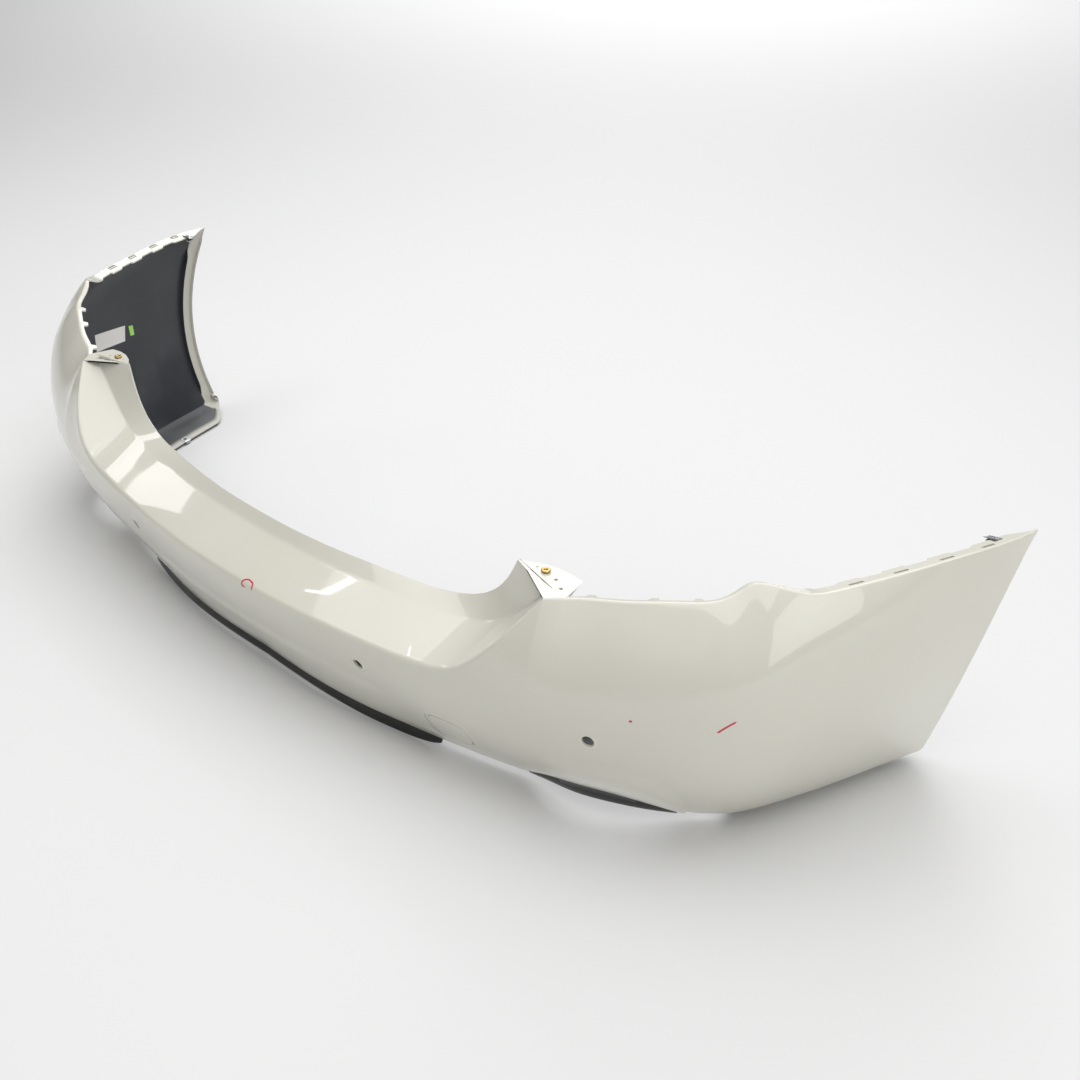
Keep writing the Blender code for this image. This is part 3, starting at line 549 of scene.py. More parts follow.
def frame_at(s, z):
    """Place whose X runs along the skin, Y into the car square to it and Z up along it."""
    side, s, z = (-1 if s < 0 else 1), np.array(abs(float(s))), np.array(float(z))
    along = (skin(s + 0.001, z) - skin(s - 0.001, z)) * [side, 1, 1] * side
    up = (skin(s, z + 0.002) - skin(s, z - 0.002)) * [side, 1, 1]
    along, up = Vector(along).normalized(), Vector(up).normalized()
    into = up.cross(along).normalized()
    along = into.cross(up)
    place = Matrix((along, into, up)).transposed().to_4x4()
    place.translation = Vector(skin(s, z) * [side, 1, 1])
    return place


def flange_place(side, s, depth):
    """Place on the wing's top flange: X along it, Y inward, Z up."""
    s = np.array(float(s))
    here = skin(fan(s, top_z(s)), top_z(s))
    ahead = skin(fan(s + 0.002, top_z(s + 0.002)), top_z(s + 0.002))
    along = Vector((ahead - here) * [side, 1, 1]).normalized()
    inward = Vector(inward_at(fan(s, top_z(s))) * [side, 1, 1])
    inward.z = -FLANGE_DROP / bpy.context.scene.bumper_shape.flange_width
    up = along.cross(inward).normalized() * side
    inward = up.cross(along).normalized() * side
    place = Matrix((along, inward, up)).transposed().to_4x4()
    place.translation = Vector(here * [side, 1, 1]) + inward * depth
    return place


# ---------------------------------------------------------------- shader groups and materials


def socket(group, name, kind, way, default=None):
    made = group.interface.new_socket(name=name, in_out=way, socket_type=kind)
    if default is not None:
        made.default_value = default
    return made


def node(tree, kind, inputs=(), **settings):
    """A shader node with its settings and its inputs, each a value or another node's output."""
    made = tree.nodes.new(kind)
    for key, value in settings.items():
        setattr(made, key, value)
    for key, value in dict(inputs).items():
        if isinstance(value, bpy.types.NodeSocket):
            tree.links.new(value, made.inputs[key])
        else:
            made.inputs[key].default_value = value
    return made


def ramp(tree, value, low, high):
    """Smooth 0 to 1 as value goes from low to high."""
    made = node(tree, "ShaderNodeMapRange", {0: value, 1: low, 2: high}, interpolation_type="SMOOTHSTEP")
    return made.outputs[0]


def maths(tree, operation, a, b=0.0):
    return node(tree, "ShaderNodeMath", {0: a, 1: b}, operation=operation).outputs[0]


def blend_colour(tree, share, a, b):
    made = node(tree, "ShaderNodeMix", {0: share, 6: a, 7: b}, data_type="RGBA")
    return made.outputs[2]


def wear_group():
    """Handling marks: fine scratches in two directions and settled dust, as masks."""
    group = bpy.data.node_groups.get("handling_wear")
    if group:
        return group
    group = bpy.data.node_groups.new("handling_wear", "ShaderNodeTree")
    socket(group, "Scale", "NodeSocketFloat", "INPUT", 1.0)
    socket(group, "Scratches", "NodeSocketFloat", "OUTPUT")
    socket(group, "Dust", "NodeSocketFloat", "OUTPUT")
    start, end = group.nodes.new("NodeGroupInput"), group.nodes.new("NodeGroupOutput")
    coords = node(group, "ShaderNodeTexCoord").outputs["Object"]
    masks = []
    for angle, stretch in ((0.35, (9, 160, 420)), (-0.6, (14, 300, 170))):
        turn = node(group, "ShaderNodeMapping", {"Vector": coords, "Rotation": (angle, angle, 1.3 * angle),
                                                 "Scale": stretch})
        lines = node(group, "ShaderNodeTexNoise", {"Vector": turn.outputs[0], "Scale": start.outputs[0],
                                                   "Detail": 2.0})
        masks.append(ramp(group, lines.outputs[0], 0.72, 0.78))
    where = node(group, "ShaderNodeTexNoise", {"Vector": coords, "Scale": 7.0, "Detail": 2.0})
    both = maths(group, "MAXIMUM", masks[0], masks[1])
    scratches = maths(group, "MULTIPLY", both, ramp(group, where.outputs[0], 0.45, 0.7))
    facing = node(group, "ShaderNodeSeparateXYZ", {0: node(group, "ShaderNodeNewGeometry").outputs["Normal"]})
    specks = node(group, "ShaderNodeTexNoise", {"Vector": coords, "Scale": 900.0, "Detail": 3.0})
    cloud = node(group, "ShaderNodeTexNoise", {"Vector": coords, "Scale": 11.0, "Detail": 5.0})
    upward = ramp(group, facing.outputs[2], -0.2, 0.9)
    dust = maths(group, "MULTIPLY", ramp(group, cloud.outputs[0], 0.35, 0.75), upward)
    dust = maths(group, "MULTIPLY", dust, ramp(group, specks.outputs[0], 0.3, 0.7))
    group.links.new(scratches, end.inputs[0])
    group.links.new(dust, end.inputs[1])
    return group


def grain_group():
    """Moulded or sprayed texture: a rippled height and a slow drift of tone."""
    group = bpy.data.node_groups.get("surface_grain")
    if group:
        return group
    group = bpy.data.node_groups.new("surface_grain", "ShaderNodeTree")
    socket(group, "Scale", "NodeSocketFloat", "INPUT", 500.0)
    socket(group, "Height", "NodeSocketFloat", "OUTPUT")
    socket(group, "Tone", "NodeSocketFloat", "OUTPUT")
    start, end = group.nodes.new("NodeGroupInput"), group.nodes.new("NodeGroupOutput")
    coords = node(group, "ShaderNodeTexCoord").outputs["Object"]
    fine = node(group, "ShaderNodeTexNoise", {"Vector": coords, "Scale": start.outputs[0], "Detail": 2.0})
    slow = node(group, "ShaderNodeTexNoise", {"Vector": coords, "Scale": 5.0, "Detail": 4.0})
    group.links.new(fine.outputs[0], end.inputs[0])
    group.links.new(slow.outputs[0], end.inputs[1])
    return group


def start_material(name):
    material = bpy.data.materials.new(name)
    material.use_nodes = True
    tree = material.node_tree
    shader = tree.nodes["Principled BSDF"]
    return material, tree, shader


def grouped(tree, group, scale):
    made = tree.nodes.new("ShaderNodeGroup")
    made.node_tree = group
    made.inputs["Scale"].default_value = scale
    return made.outputs


def add_bump(tree, shader, height, strength, distance):
    bump = node(tree, "ShaderNodeBump", {"Height": height, "Strength": strength, "Distance": distance})
    tree.links.new(bump.outputs[0], shader.inputs["Normal"])


def coloured(material, tree, shader, base, dusty, dust_share, rough, rough_gain, wear):
    """Base colour with drift and dust, roughness raised by scratches and dust."""
    dust = maths(tree, "MULTIPLY", wear["Dust"], dust_share)
    tree.links.new(blend_colour(tree, dust, base, dusty), shader.inputs["Base Color"])
    more = maths(tree, "MULTIPLY", maths(tree, "ADD", wear["Scratches"], wear["Dust"]), rough_gain)
    tree.links.new(maths(tree, "ADD", more, rough), shader.inputs["Roughness"])
    return material


def paint_material():
    """Gloss pearl-white paint: clear coat with a faint orange peel, hairline scratches, dust."""
    if "gloss_paint" in bpy.data.materials:
        return bpy.data.materials["gloss_paint"]
    finish = bpy.context.scene.bumper_finish
    material, tree, shader = start_material("gloss_paint")
    wear, grain = grouped(tree, wear_group(), 1.0), grouped(tree, grain_group(), 260.0)
    tone = ramp(tree, grain["Tone"], 0.3, 0.7)
    warm = tuple(c * k for c, k in zip(finish.paint, (0.985, 0.98, 0.965))) + (1,)
    base = blend_colour(tree, tone, tuple(finish.paint) + (1,), warm)
    coloured(material, tree, shader, base, (0.50, 0.49, 0.46, 1), 0.10, 0.34, 0.25, wear)
    shader.inputs["Coat Weight"].default_value = 1.0
    shader.inputs["Coat Roughness"].default_value = 0.035
    shader.inputs["Specular IOR Level"].default_value = 0.35
    add_bump(tree, shader, grain["Height"], 0.05, 0.0004)
    return material


def inner_material():
    """Bare moulding inside: satin blue-grey plastic, with paint overspray along the edges."""
    if "bare_moulding" in bpy.data.materials:
        return bpy.data.materials["bare_moulding"]
    finish = bpy.context.scene.bumper_finish
    material, tree, shader = start_material("bare_moulding")
    wear, grain = grouped(tree, wear_group(), 1.6), grouped(tree, grain_group(), 700.0)
    dark = tuple(finish.inner_plastic) + (1,)
    pale = tuple(1.5 * c for c in finish.inner_plastic) + (1,)
    base = blend_colour(tree, ramp(tree, grain["Tone"], 0.35, 0.65), dark, pale)
    spray = node(tree, "ShaderNodeAttribute", attribute_name="overspray").outputs["Fac"]
    ragged = maths(tree, "ADD", spray, maths(tree, "MULTIPLY", grain["Tone"], 0.5))
    mask = ramp(tree, ragged, 0.55, 1.0)
    base = blend_colour(tree, mask, base, tuple(0.8 * c for c in finish.paint) + (1,))
    coloured(material, tree, shader, base, (0.30, 0.30, 0.29, 1), 0.35, 0.36, 0.3, wear)
    add_bump(tree, shader, grain["Height"], 0.12, 0.0003)
    return material


def trim_material(name, colour, rough, coat):
    """Black or grey moulded plastic with a fine grain, scuffs and dust."""
    if name in bpy.data.materials:
        return bpy.data.materials[name]
    material, tree, shader = start_material(name)
    wear, grain = grouped(tree, wear_group(), 1.3), grouped(tree, grain_group(), 1100.0)
    dark, pale = tuple(colour) + (1,), tuple(1.6 * c + 0.004 for c in colour) + (1,)
    base = blend_colour(tree, ramp(tree, grain["Tone"], 0.3, 0.7), dark, pale)
    coloured(material, tree, shader, base, (0.32, 0.31, 0.29, 1), 0.3, rough, 0.35, wear)
    shader.inputs["Coat Weight"].default_value = coat
    add_bump(tree, shader, grain["Height"], 0.2, 0.0003)
    return material


def metal_material(name, colour, rough):
    """Plated metal: tone drift, fine rolling marks and dulled patches."""
    if name in bpy.data.materials:
        return bpy.data.materials[name]
    material, tree, shader = start_material(name)
    wear, grain = grouped(tree, wear_group(), 2.5), grouped(tree, grain_group(), 1800.0)
    dull = tuple(0.62 * c for c in colour) + (1,)
    spots = node(tree, "ShaderNodeTexNoise", {"Scale": 160.0, "Detail": 4.0,
                 "Vector": node(tree, "ShaderNodeTexCoord").outputs["Object"]}).outputs[0]
    base = blend_colour(tree, ramp(tree, spots, 0.4, 0.7), tuple(colour) + (1,), dull)
    coloured(material, tree, shader, base, (0.35, 0.34, 0.32, 1), 0.25, rough, 0.3, wear)
    shader.inputs["Metallic"].default_value = 1.0
    add_bump(tree, shader, grain["Height"], 0.15, 0.0002)
    return material


def sheet_material(name, colour, rough):
    """Paper label, sticker or marker line: a matt layer whose colour wears thin in patches."""
    if name in bpy.data.materials:
        return bpy.data.materials[name]
    material, tree, shader = start_material(name)
    grain = grouped(tree, grain_group(), 900.0)
    thin = tuple(min(1.0, 0.75 * c + 0.15) for c in colour) + (1,)
    patch = node(tree, "ShaderNodeTexNoise", {"Scale": 420.0, "Detail": 3.0,
                 "Vector": node(tree, "ShaderNodeTexCoord").outputs["Object"]}).outputs[0]
    base = blend_colour(tree, ramp(tree, patch, 0.5, 0.75), tuple(colour) + (1,), thin)
    tree.links.new(base, shader.inputs["Base Color"])
    shader.inputs["Roughness"].default_value = rough
    add_bump(tree, shader, grain["Height"], 0.1, 0.0002)
    return material


# ---------------------------------------------------------------- the moulding


def wall_mesh(shape):
    """The moulding's wall: the painted grid, the grid a wall's thickness inside it, and the
    strips that join the two along all four borders. Overspray fades from paint to bare side."""
    reaches = (shape.lower_radius, shape.step_radius, shape.edge_radius, shape.crease_radius)
    outer, inner = (whole_grid(half_grid(shape, depth, reaches)) for depth in (0.0, shape.wall))
    columns, rows = outer.shape[:2]
    number = np.arange(columns * rows).reshape(columns, rows)
    lift = columns * rows
    skin_quads = grid_faces(columns, rows)
    borders = []
    for line in (number[0], number[:, -1], number[-1, ::-1], number[::-1, 0]):
        borders.append(np.stack([line[1:], line[:-1], line[:-1] + lift, line[1:] + lift], -1))
    quads = np.vstack([skin_quads, skin_quads[:, ::-1] + lift, *borders])
    shelf_quads = np.tile(np.arange(rows - 1) < 3, columns - 1)
    edge_kinds = [np.full(len(b), kind) for b, kind in zip(borders, (1, 0, 1, 1))]
    kinds = np.concatenate([shelf_quads * 1, np.ones(len(skin_quads)), *edge_kinds])
    mesh = mesh_from("moulding", np.vstack([outer.reshape(-1, 3), inner.reshape(-1, 3)]), quads,
                     (paint_material(), inner_material()), kinds)
    steps = np.linalg.norm(np.diff(inner, axis=1), axis=-1)
    from_top = np.cumsum(np.pad(steps, ((0, 0), (0, 1)))[:, ::-1], axis=1)[:, ::-1]
    from_low = np.cumsum(np.pad(steps, ((0, 0), (1, 0))), axis=1)
    fade = np.exp(-np.minimum(from_top / 0.007, from_low / 0.012))
    shelf = np.exp(-np.maximum(np.linalg.norm(outer - outer[:, 4:5], axis=-1) - 0.002, 0) / 0.006)
    arch = np.minimum(*(np.linalg.norm(inner - inner[end], axis=-1) for end in (0, -1)))
    fade = np.maximum(fade, smooth((0.031 - arch) / 0.008))
    spray = mesh.attributes.new("overspray", "FLOAT", "POINT")
    spray.data.foreach_set("value", np.concatenate([shelf.ravel(), fade.ravel()]).astype(np.float32))
    return mesh


def drum(radius, depth, place, sides=48):
    """A solid cylinder for cutting, centred on its place along Z."""
    work = bmesh.new()
    bmesh.ops.create_cone(work, cap_ends=True, segments=sides, radius1=radius, radius2=radius,
                          depth=depth, matrix=place)
    mesh = bpy.data.meshes.new("drum")
    work.to_mesh(mesh)
    work.free()
    return mesh


def slab(size, place, corner=0.0, steps=5):
    """A solid slab with rounded ends for cutting: a rounded rectangle in X and Y, size[2] high."""
    corner = corner or min(size[0], size[1]) / 2 - 1e-5
    turn = np.linspace(0, np.pi / 2, steps)
    quarter = np.stack([np.cos(turn), np.sin(turn)], -1) * corner
    half = np.array(size[:2]) / 2 - corner
    rows = []
    for k, (sx, sy) in enumerate(((1, 1), (-1, 1), (-1, -1), (1, -1))):
        points = quarter if k % 2 == 0 else quarter[::-1]
        rows.append((half + points) * [sx, sy])
    outline = np.concatenate(rows)
    levels = np.array([-0.5, 0.5]) * size[2]
    loops = np.stack([np.column_stack([outline, np.full(len(outline), z)]) for z in levels])
    mesh = ring_sweep("slab", loops, [])
    mesh.transform(place)
    return mesh


def screw_place(s):
    """Place on the underside of the lower flange where a screw goes up: X runs along the
    flange, Y inward and Z up square to it."""
    side, s = (-1 if s < 0 else 1), abs(s)
    half = EXHAUST_PITCH / 2
    ends = [skin(np.array(e), low_z(np.array(e))) for e in (s - half, s + half)]
    along = Vector((ends[1] - ends[0]) * [side, 1, 1]).normalized() * side
    inward = Vector(inward_at(np.array(s)) * [side, 1, 1])
    up = along.cross(inward).normalized()
    inward = up.cross(along)
    place = Matrix((along, inward, up)).transposed().to_4x4()
    place.translation = Vector((ends[0] + ends[1]) / 2 * [side, 1, 1]) + inward * 0.0105
    return place


def screw_stations():
    """Station of each trim screw by the name of its solid."""
    first = EXHAUST_FROM + EXHAUST_MARGIN
    found = {f"centre_trim_{'abcde'[i]}": (i - 2) * TRIM_SCREW_PITCH for i in range(5)}
    for hand, side in SIDES.items():
        for order, cell in (("inner", 2), ("outer", 9)):
            found[f"exhaust_trim_{hand}_{order}"] = side * (first + (cell + 0.5) * EXHAUST_PITCH)
    return found


def cap_outline(grow, count, notch=0.0):
    """Stations and heights round the towing-eye cap, a fourth-power oval between rectangle and
    ellipse, leaning slightly; a pry notch may bite into its outer lower corner."""
    turn = np.linspace(0, 2 * np.pi, count, endpoint=False)
    across, up = np.cos(turn), np.sin(turn)
    swell = (np.abs(across) ** 4 + np.abs(up) ** 4) ** -0.25
    grow = grow - notch * smooth(1 - np.abs(turn - math.radians(322)) / math.radians(9))
    s = CAP_STATION + (CAP_HALF_WIDTH + grow) * across * swell
    z = CAP_Z + (CAP_HALF_HEIGHT + grow) * up * swell + 0.003 * across * swell
    return s, z


def cutting_solids():
    """Everything that is cut out of the moulding: sensor, towing-eye, screw, insert and clip
    holes, and the slits in the horn tabs."""
    quarter = Matrix.Rotation(math.pi / 2, 4, "X")
    cuts = []
    for side in SIDES.values():
        for s, z in SENSORS.values():
            cuts.append(drum(0.0092, 0.03, frame_at(side * s, z) @ quarter))
        for x, y, radius in ((*INSERT_AT, 0.0042), *TAB_HOLES):
            cuts.append(drum(radius, 0.02, Matrix.Translation((side * x, y, HORN_TOP_Z + 0.001)), 24))
        slit = Matrix.Translation((side * 0.514, -0.1630, HORN_TOP_Z + 0.001))
        cuts.append(slab((0.027, 0.0016, 0.012), slit @ Matrix.Rotation(side * -0.21, 4, "Z")))
        for s in SLOT_STATIONS:
            cuts.append(slab((0.020, 0.0045, 0.012), flange_place(side, s, 0.0085), 0.0012))
    cuts += [drum(0.003, 0.014, screw_place(s), 24) for s in screw_stations().values()]
    s, z = cap_outline(CAP_GAP + 0.0012, 64)
    rim = skin(s, z)
    into = np.array(frame_at(CAP_STATION, CAP_Z).to_3x3())[:, 1]
    cuts.append(ring_sweep("towing_eye", np.stack([rim - 0.02 * into, rim + 0.02 * into]), []))
    return joined(cuts, "cuts")


def cut_out(thing, cuts):
    """Subtracts the cutting solids and keeps the result as the piece's own mesh."""
    tool = bpy.data.objects.new("cuts", cuts)
    bpy.context.scene.collection.objects.link(tool)
    change = thing.modifiers.new("cuts", "BOOLEAN")
    change.object = tool
    change.solver = "EXACT"
    bpy.context.view_layer.update()
    graph = bpy.context.evaluated_depsgraph_get()
    result = bpy.data.meshes.new_from_object(thing.evaluated_get(graph))
    thing.modifiers.clear()
    old, thing.data = thing.data, result
    result.set_sharp_from_angle(angle=math.radians(38))
    bpy.data.meshes.remove(old)
    bpy.data.objects.remove(tool)


def skin_ring(name, side, s, z, profile, materials, spread=None):
    """A closed ring laid on the painted face. Its profile is (offset, height) points: the
    offset is measured on the surface from the outline, the height square to the surface."""
    profile = np.asarray(profile)
    count = 72
    turn = np.linspace(0, 2 * np.pi, count, endpoint=False)[:, None]
    if spread is None:
        slope = np.linalg.norm(skin(s, z + 1e-3) - skin(s, z - 1e-3)) / 2e-3
        at_s = s + profile[:, 0] * np.cos(turn)
        at_z = z + profile[:, 0] * np.sin(turn) / slope
    else:
        at_s, at_z = (np.stack(grid, 1) for grid in zip(*(spread(g, count) for g in profile[:, 0])))
    loops = skin(at_s, at_z) + skin_normal(at_s, at_z) * profile[None, :, 1:2]
    return ring_sweep(name, loops * [side, 1, 1], materials, closed=True)


def sensor_rim(name, side, s, z):
    """Raised painted rim round a sensor opening, turning into the hole with a soft edge."""
    profile = np.array([(13.4, -0.15), (13.1, 0.10), (12.6, 0.28), (11.6, 0.46), (10.2, 0.52),
                        (9.0, 0.46), (8.4, 0.22), (8.08, -0.20), (8.0, -0.9), (8.0, -3.6),
                        (9.0, -3.6), (9.3, -1.2), (12.4, -0.9)]) * MM
    return skin_ring(name, side, s, z, profile, [paint_material()])


def cap_surround():
    """Painted edge of the towing-eye opening, rolled inward with a small radius."""
    profile = np.array([(6.0, -0.20), (5.6, 0.05), (1.3, 0.05), (0.75, -0.02), (0.3, -0.25),
                        (0.05, -0.7), (0.0, -3.1), (1.6, -3.1), (1.9, -0.9), (5.0, -0.8)]) * MM
    return skin_ring("cap_surround", 1, 0, 0, profile, [paint_material()],
                     lambda grow, count: cap_outline(CAP_GAP + grow, count))


def cap_mesh():
    """The towing-eye cap: rings of the painted surface from its middle to a rolled edge, then
    back over a stiffening rim to the middle of the rear side, joined by a hollow peg."""
    edges = np.array([(-7.0, 0), (-3.0, 0), (-0.9, 0), (-0.45, -0.08), (-0.12, -0.34), (0, -0.8),
                      (0, -2.6), (-0.4, -2.9), (-4.2, -2.9), (-4.6, -3.3), (-4.6, -7.6), (-5.0, -8.0),
                      (-6.0, -8.0), (-6.4, -7.6), (-6.4, -3.3), (-7.0, -2.9)]) * MM
    count = 72
    centre = np.array([CAP_STATION, CAP_Z])
    rings, heights = [], []
    inner = np.stack(cap_outline(-7.0 * MM, count), -1)
    for share in (0.12, 0.3, 0.5, 0.75):
        rings.append(centre + (inner - centre) * share)
        heights.append(0)
    for grow, height in edges:
        rings.append(np.stack(cap_outline(grow, count, notch=0.0016), -1))
        heights.append(height)
    for share in (0.75, 0.5, 0.3, 0.12):
        rings.append(centre + (inner - centre) * share)
        heights.append(-2.9 * MM)
    rings, heights = np.array(rings), np.array(heights)
    loops = skin(rings[..., 0], rings[..., 1])
    loops += skin_normal(rings[..., 0], rings[..., 1]) * heights[:, None, None]
    front = ring_sweep("cap", loops, [paint_material(), inner_material()])
    bare = np.repeat(np.r_[heights[1:] < -CAP_PAINT_DEPTH, False, True], count)
    front.polygons.foreach_set("material_index", bare.astype(np.int32))
    profile = [(3.0, 2.5), (6.0, 2.5), (5.7, 11.4), (5.3, 12.0), (3.4, 12.0), (3.0, 11.4)]
    peg = turned("peg", np.array(profile) * MM, 32, inner_material(),
                 frame_at(CAP_STATION, CAP_Z) @ Matrix.Rotation(-math.pi / 2, 4, "X"))
    peg.polygons.foreach_set("material_index", np.ones(len(peg.polygons), np.int32))
    return joined([front, peg], "tow_cap_cover")


def wing_rib(name, side):
    """Stiffening rib on the inside of a wing, 34 mm back from the wheel-arch edge: a rounded
    bar whose section is swept up the wall."""
    z = np.linspace(EDGE_Z + 0.022, TIP_Z - 0.032, 40)
    s = fan(np.full_like(z, TIP_S - 0.034), z)
    tall = 0.0085 * np.clip(np.minimum(z - z[0], z[-1] - z) / 0.02 + 0.15, 0, 1)
    across = np.array([-1.6, -1.1, -0.9, -0.5, 0.5, 0.9, 1.1, 1.6]) * MM
    up = np.array([0, 0.25, 0.85, 1, 1, 0.85, 0.25, 0])
    depth = 0.0025 + tall[:, None] * up
    at_s, at_z = s[:, None] + across, z[:, None] + 0 * across
    loops = skin(at_s, at_z) - skin_normal(at_s, at_z) * depth[..., None]
    return ring_sweep(name, loops * [side, 1, 1], [inner_material()])


# ---------------------------------------------------------------- trims, holders, inserts, clips


def hanging_strip(name, at, outline, materials):
    """A strip hung under the lower flange: at each station the outline's (inset, height)
    points are put square to the plan curve, and the run of outlines is closed at its ends."""
    side, s = np.where(at < 0, -1, 1)[:, None, None], np.abs(at)
    edge = skin(s, low_z(s))[:, None, :2]
    inward = inward_at(s)[:, None, :2]
    plane = edge + inward * outline[..., :1]
    loops = np.concatenate([plane, outline[..., 1:]], -1) * np.concatenate(
        [side, np.ones_like(side), np.ones_like(side)], -1)
    return ring_sweep(name, loops, materials)


def centre_trim_low(s):
    """Lower edge of the centre strip: nearly level, then curving up to the paint at its ends as
    1 - (1 - t^2.2)^0.5 of the way."""
    end = np.clip((np.abs(s) - 0.30) / (TRIM_END - 0.30), 0, 1)
    return 0.003 * smooth((0.28 - np.abs(s)) / 0.2) + (EDGE_Z - 0.004) * (1 - np.sqrt(1 - end**2.2))


def exhaust_trim_low(s):
    """Lower edge of an exhaust strip: a flatter arch that follows the painted one."""
    return EDGE_Z - 0.005 + 0.52 * exhaust_arch(s)


def strip_outline(at, low, inset_top, inset_foot):
    """Cross-sections of a trim strip: web with a rounded foot, and the flange above it. The
    web runs straight from its top inset to its foot inset."""
    top = low_z(at) - 0.0003
    foot = np.minimum(low(at) + 0.0002, top - 0.0032)
    height = (top - foot)[:, None]
    web = np.array([(0.0, 0.0), (0.04, 0.6), (0.5, 0.0), (0.93, 0.0), (0.97, 0.3), (1.0, 1.0),
                    (1.0, 1.8), (0.97, 2.5), (0.90, 2.8), (0.5, 2.8)])
    drop, back = web.T
    lean = inset_top + (inset_foot - inset_top) * drop
    down = np.stack([lean + back * MM + 0 * height, top[:, None] - drop * height], -1)
    under = top[:, None] - np.array([0.0025, 0.0025, 0.0])
    flange = np.stack([np.array([inset_top + 0.0028, REAR_SHELF, REAR_SHELF]) + 0 * under, under], -1)
    return np.concatenate([down, flange], 1)


def trim_plastic():
    """The black plastic that all three lower strips share."""
    return trim_material("black_trim", bpy.context.scene.bumper_finish.trim, 0.26, 0.0)


def centre_trim_mesh():
    """The centre strip, with stations closer together along its curved ends."""
    half = np.r_[np.linspace(0, 0.30, 51), np.linspace(0.303, TRIM_END - 0.004, 26)]
    at = np.r_[-half[:0:-1], half]
    outline = strip_outline(at, centre_trim_low, TRIM_INSET, TRIM_INSET)
    return hanging_strip("centre_trim", at, outline, [trim_plastic()])


def exhaust_trim_mesh(name, side):
    """One exhaust strip, whose face leans inward towards its foot."""
    at = side * np.linspace(EXHAUST_FROM + 0.0125, EXHAUST_TO - 0.0125, 61)
    outline = strip_outline(at, exhaust_trim_low, TRIM_INSET, EXHAUST_FOOT_INSET)
    return hanging_strip(name, at, outline, [trim_plastic()])


def box_mesh(size, centre, place, material):
    """A block with bevelled edges."""
    work = bmesh.new()
    bmesh.ops.create_cube(work, size=1)
    bmesh.ops.scale(work, vec=size, verts=work.verts)
    bmesh.ops.bevel(work, geom=work.edges[:], offset=min(size) * 0.18, segments=2, affect="EDGES")
    bmesh.ops.translate(work, vec=centre, verts=work.verts)
    bmesh.ops.transform(work, matrix=place, verts=work.verts)
    mesh = bpy.data.meshes.new("block")
    work.to_mesh(mesh)
    work.free()
    mesh.materials.append(material)
    mesh.shade_smooth()
    return mesh


def holder_mesh(side, s, z):
    """Sensor holder: a turned flange and sleeve, two snap arms and the bar across the sleeve."""
    grey = trim_material("holder_plastic", bpy.context.scene.bumper_finish.holder, 0.45, 0.0)
    place = frame_at(side * s, z)
    behind = 6.0
    profile = [(8.8, 0.3), (9.1, 0), (15.0, 0), (15.5, 0.5), (15.5, 1.5), (15.0, 2.0), (12.1, 2.0),
               (11.8, 2.3), (11.8, 12.5), (11.4, 13.0), (9.2, 13.0), (8.8, 12.6)]
    profile = [(r * MM, (h + behind) * MM) for r, h in profile]
    parts = [turned("holder", profile, 64, grey, place @ Matrix.Rotation(-math.pi / 2, 4, "X"))]
    for arm in (-1, 1):
        parts.append(box_mesh((0.0026, 0.015, 0.009), (arm * 0.0130, 0.0145, 0), place, grey))
        parts.append(box_mesh((0.0036, 0.002, 0.009), (arm * 0.0124, 0.0216, 0), place, grey))
    parts.append(box_mesh((0.0026, 0.002, 0.0196), (-0.002, 0.0175, 0), place, grey))
    return joined(parts, "holder")


def insert_mesh(side):
    """Threaded insert: a flanged bush whose bore is ridged by the thread."""
    zinc = metal_material("yellow_zinc", bpy.context.scene.bumper_finish.zinc, 0.28)
    thread = [(r, h) for k in range(15) for r, h in ((2.2, 5.2 - 0.8 * k), (2.55, 4.8 - 0.8 * k))]
    profile = [(2.5, 5.7), (3.0, 6.0), (5.5, 5.9), (6.0, 5.5), (6.2, 4.9), (6.2, 4.4), (3.8, 4.4),
               (3.8, -6.7), (3.5, -7.0), (2.4, -7.0), *thread[::-1]]
    profile = [(r * MM, h * MM) for r, h in profile]
    place = Matrix.Translation((side * INSERT_AT[0], INSERT_AT[1], HORN_TOP_Z))
    return turned("insert", profile, 64, zinc, place)


def clip_mesh(name, reach, wide, place):
    """A spring clip folded from 0.8 mm sheet round a flange's edge, with turned-up lead-in lips
    and a raised screw collar: the folded centre line is thickened and swept across its width."""
    steel = metal_material("spring_steel", bpy.context.scene.bumper_finish.steel, 0.32)
    half = 0.0004
    top, bottom = half + 0.0005, -0.003 - half - 0.0005
    turn = np.linspace(np.pi / 2, -np.pi / 2, 9)
    bend = (top - bottom) / 2
    fold = np.stack([0.0004 + bend * np.cos(turn), (top + bottom) / 2 + bend * np.sin(turn)], -1)
    line = np.vstack([[(-reach, top + 0.0014), (-reach + 0.0022, top), (-reach / 2, top)], fold,
                      [(-reach / 2, bottom), (-reach + 0.0022, bottom), (-reach, bottom - 0.0014)]])
    along = unit(np.gradient(line, axis=0))
    square = np.stack([-along[:, 1], along[:, 0]], -1)
    outline = np.vstack([line + half * square, (line - half * square)[::-1]])
    across = np.array([-1, -0.94, 0.94, 1]) * wide / 2
    inset = np.array([0.9995, 1, 1, 0.9995])
    loops = np.stack([np.column_stack([np.full(len(outline), x), outline * k])
                      for x, k in zip(across, inset)])
    sheet = ring_sweep(name, loops, [steel])
    collar = turned("collar", np.array([(2.0, 0.2), (2.9, 0.2), (3.4, 0.6), (3.1, 2.2), (2.7, 2.5),
                                        (2.1, 2.3)]) * MM, 32, steel,
                    Matrix.Translation((0, -reach * 0.55, top)))
    mesh = joined([sheet, collar], name)
    mesh.transform(place)
    return mesh


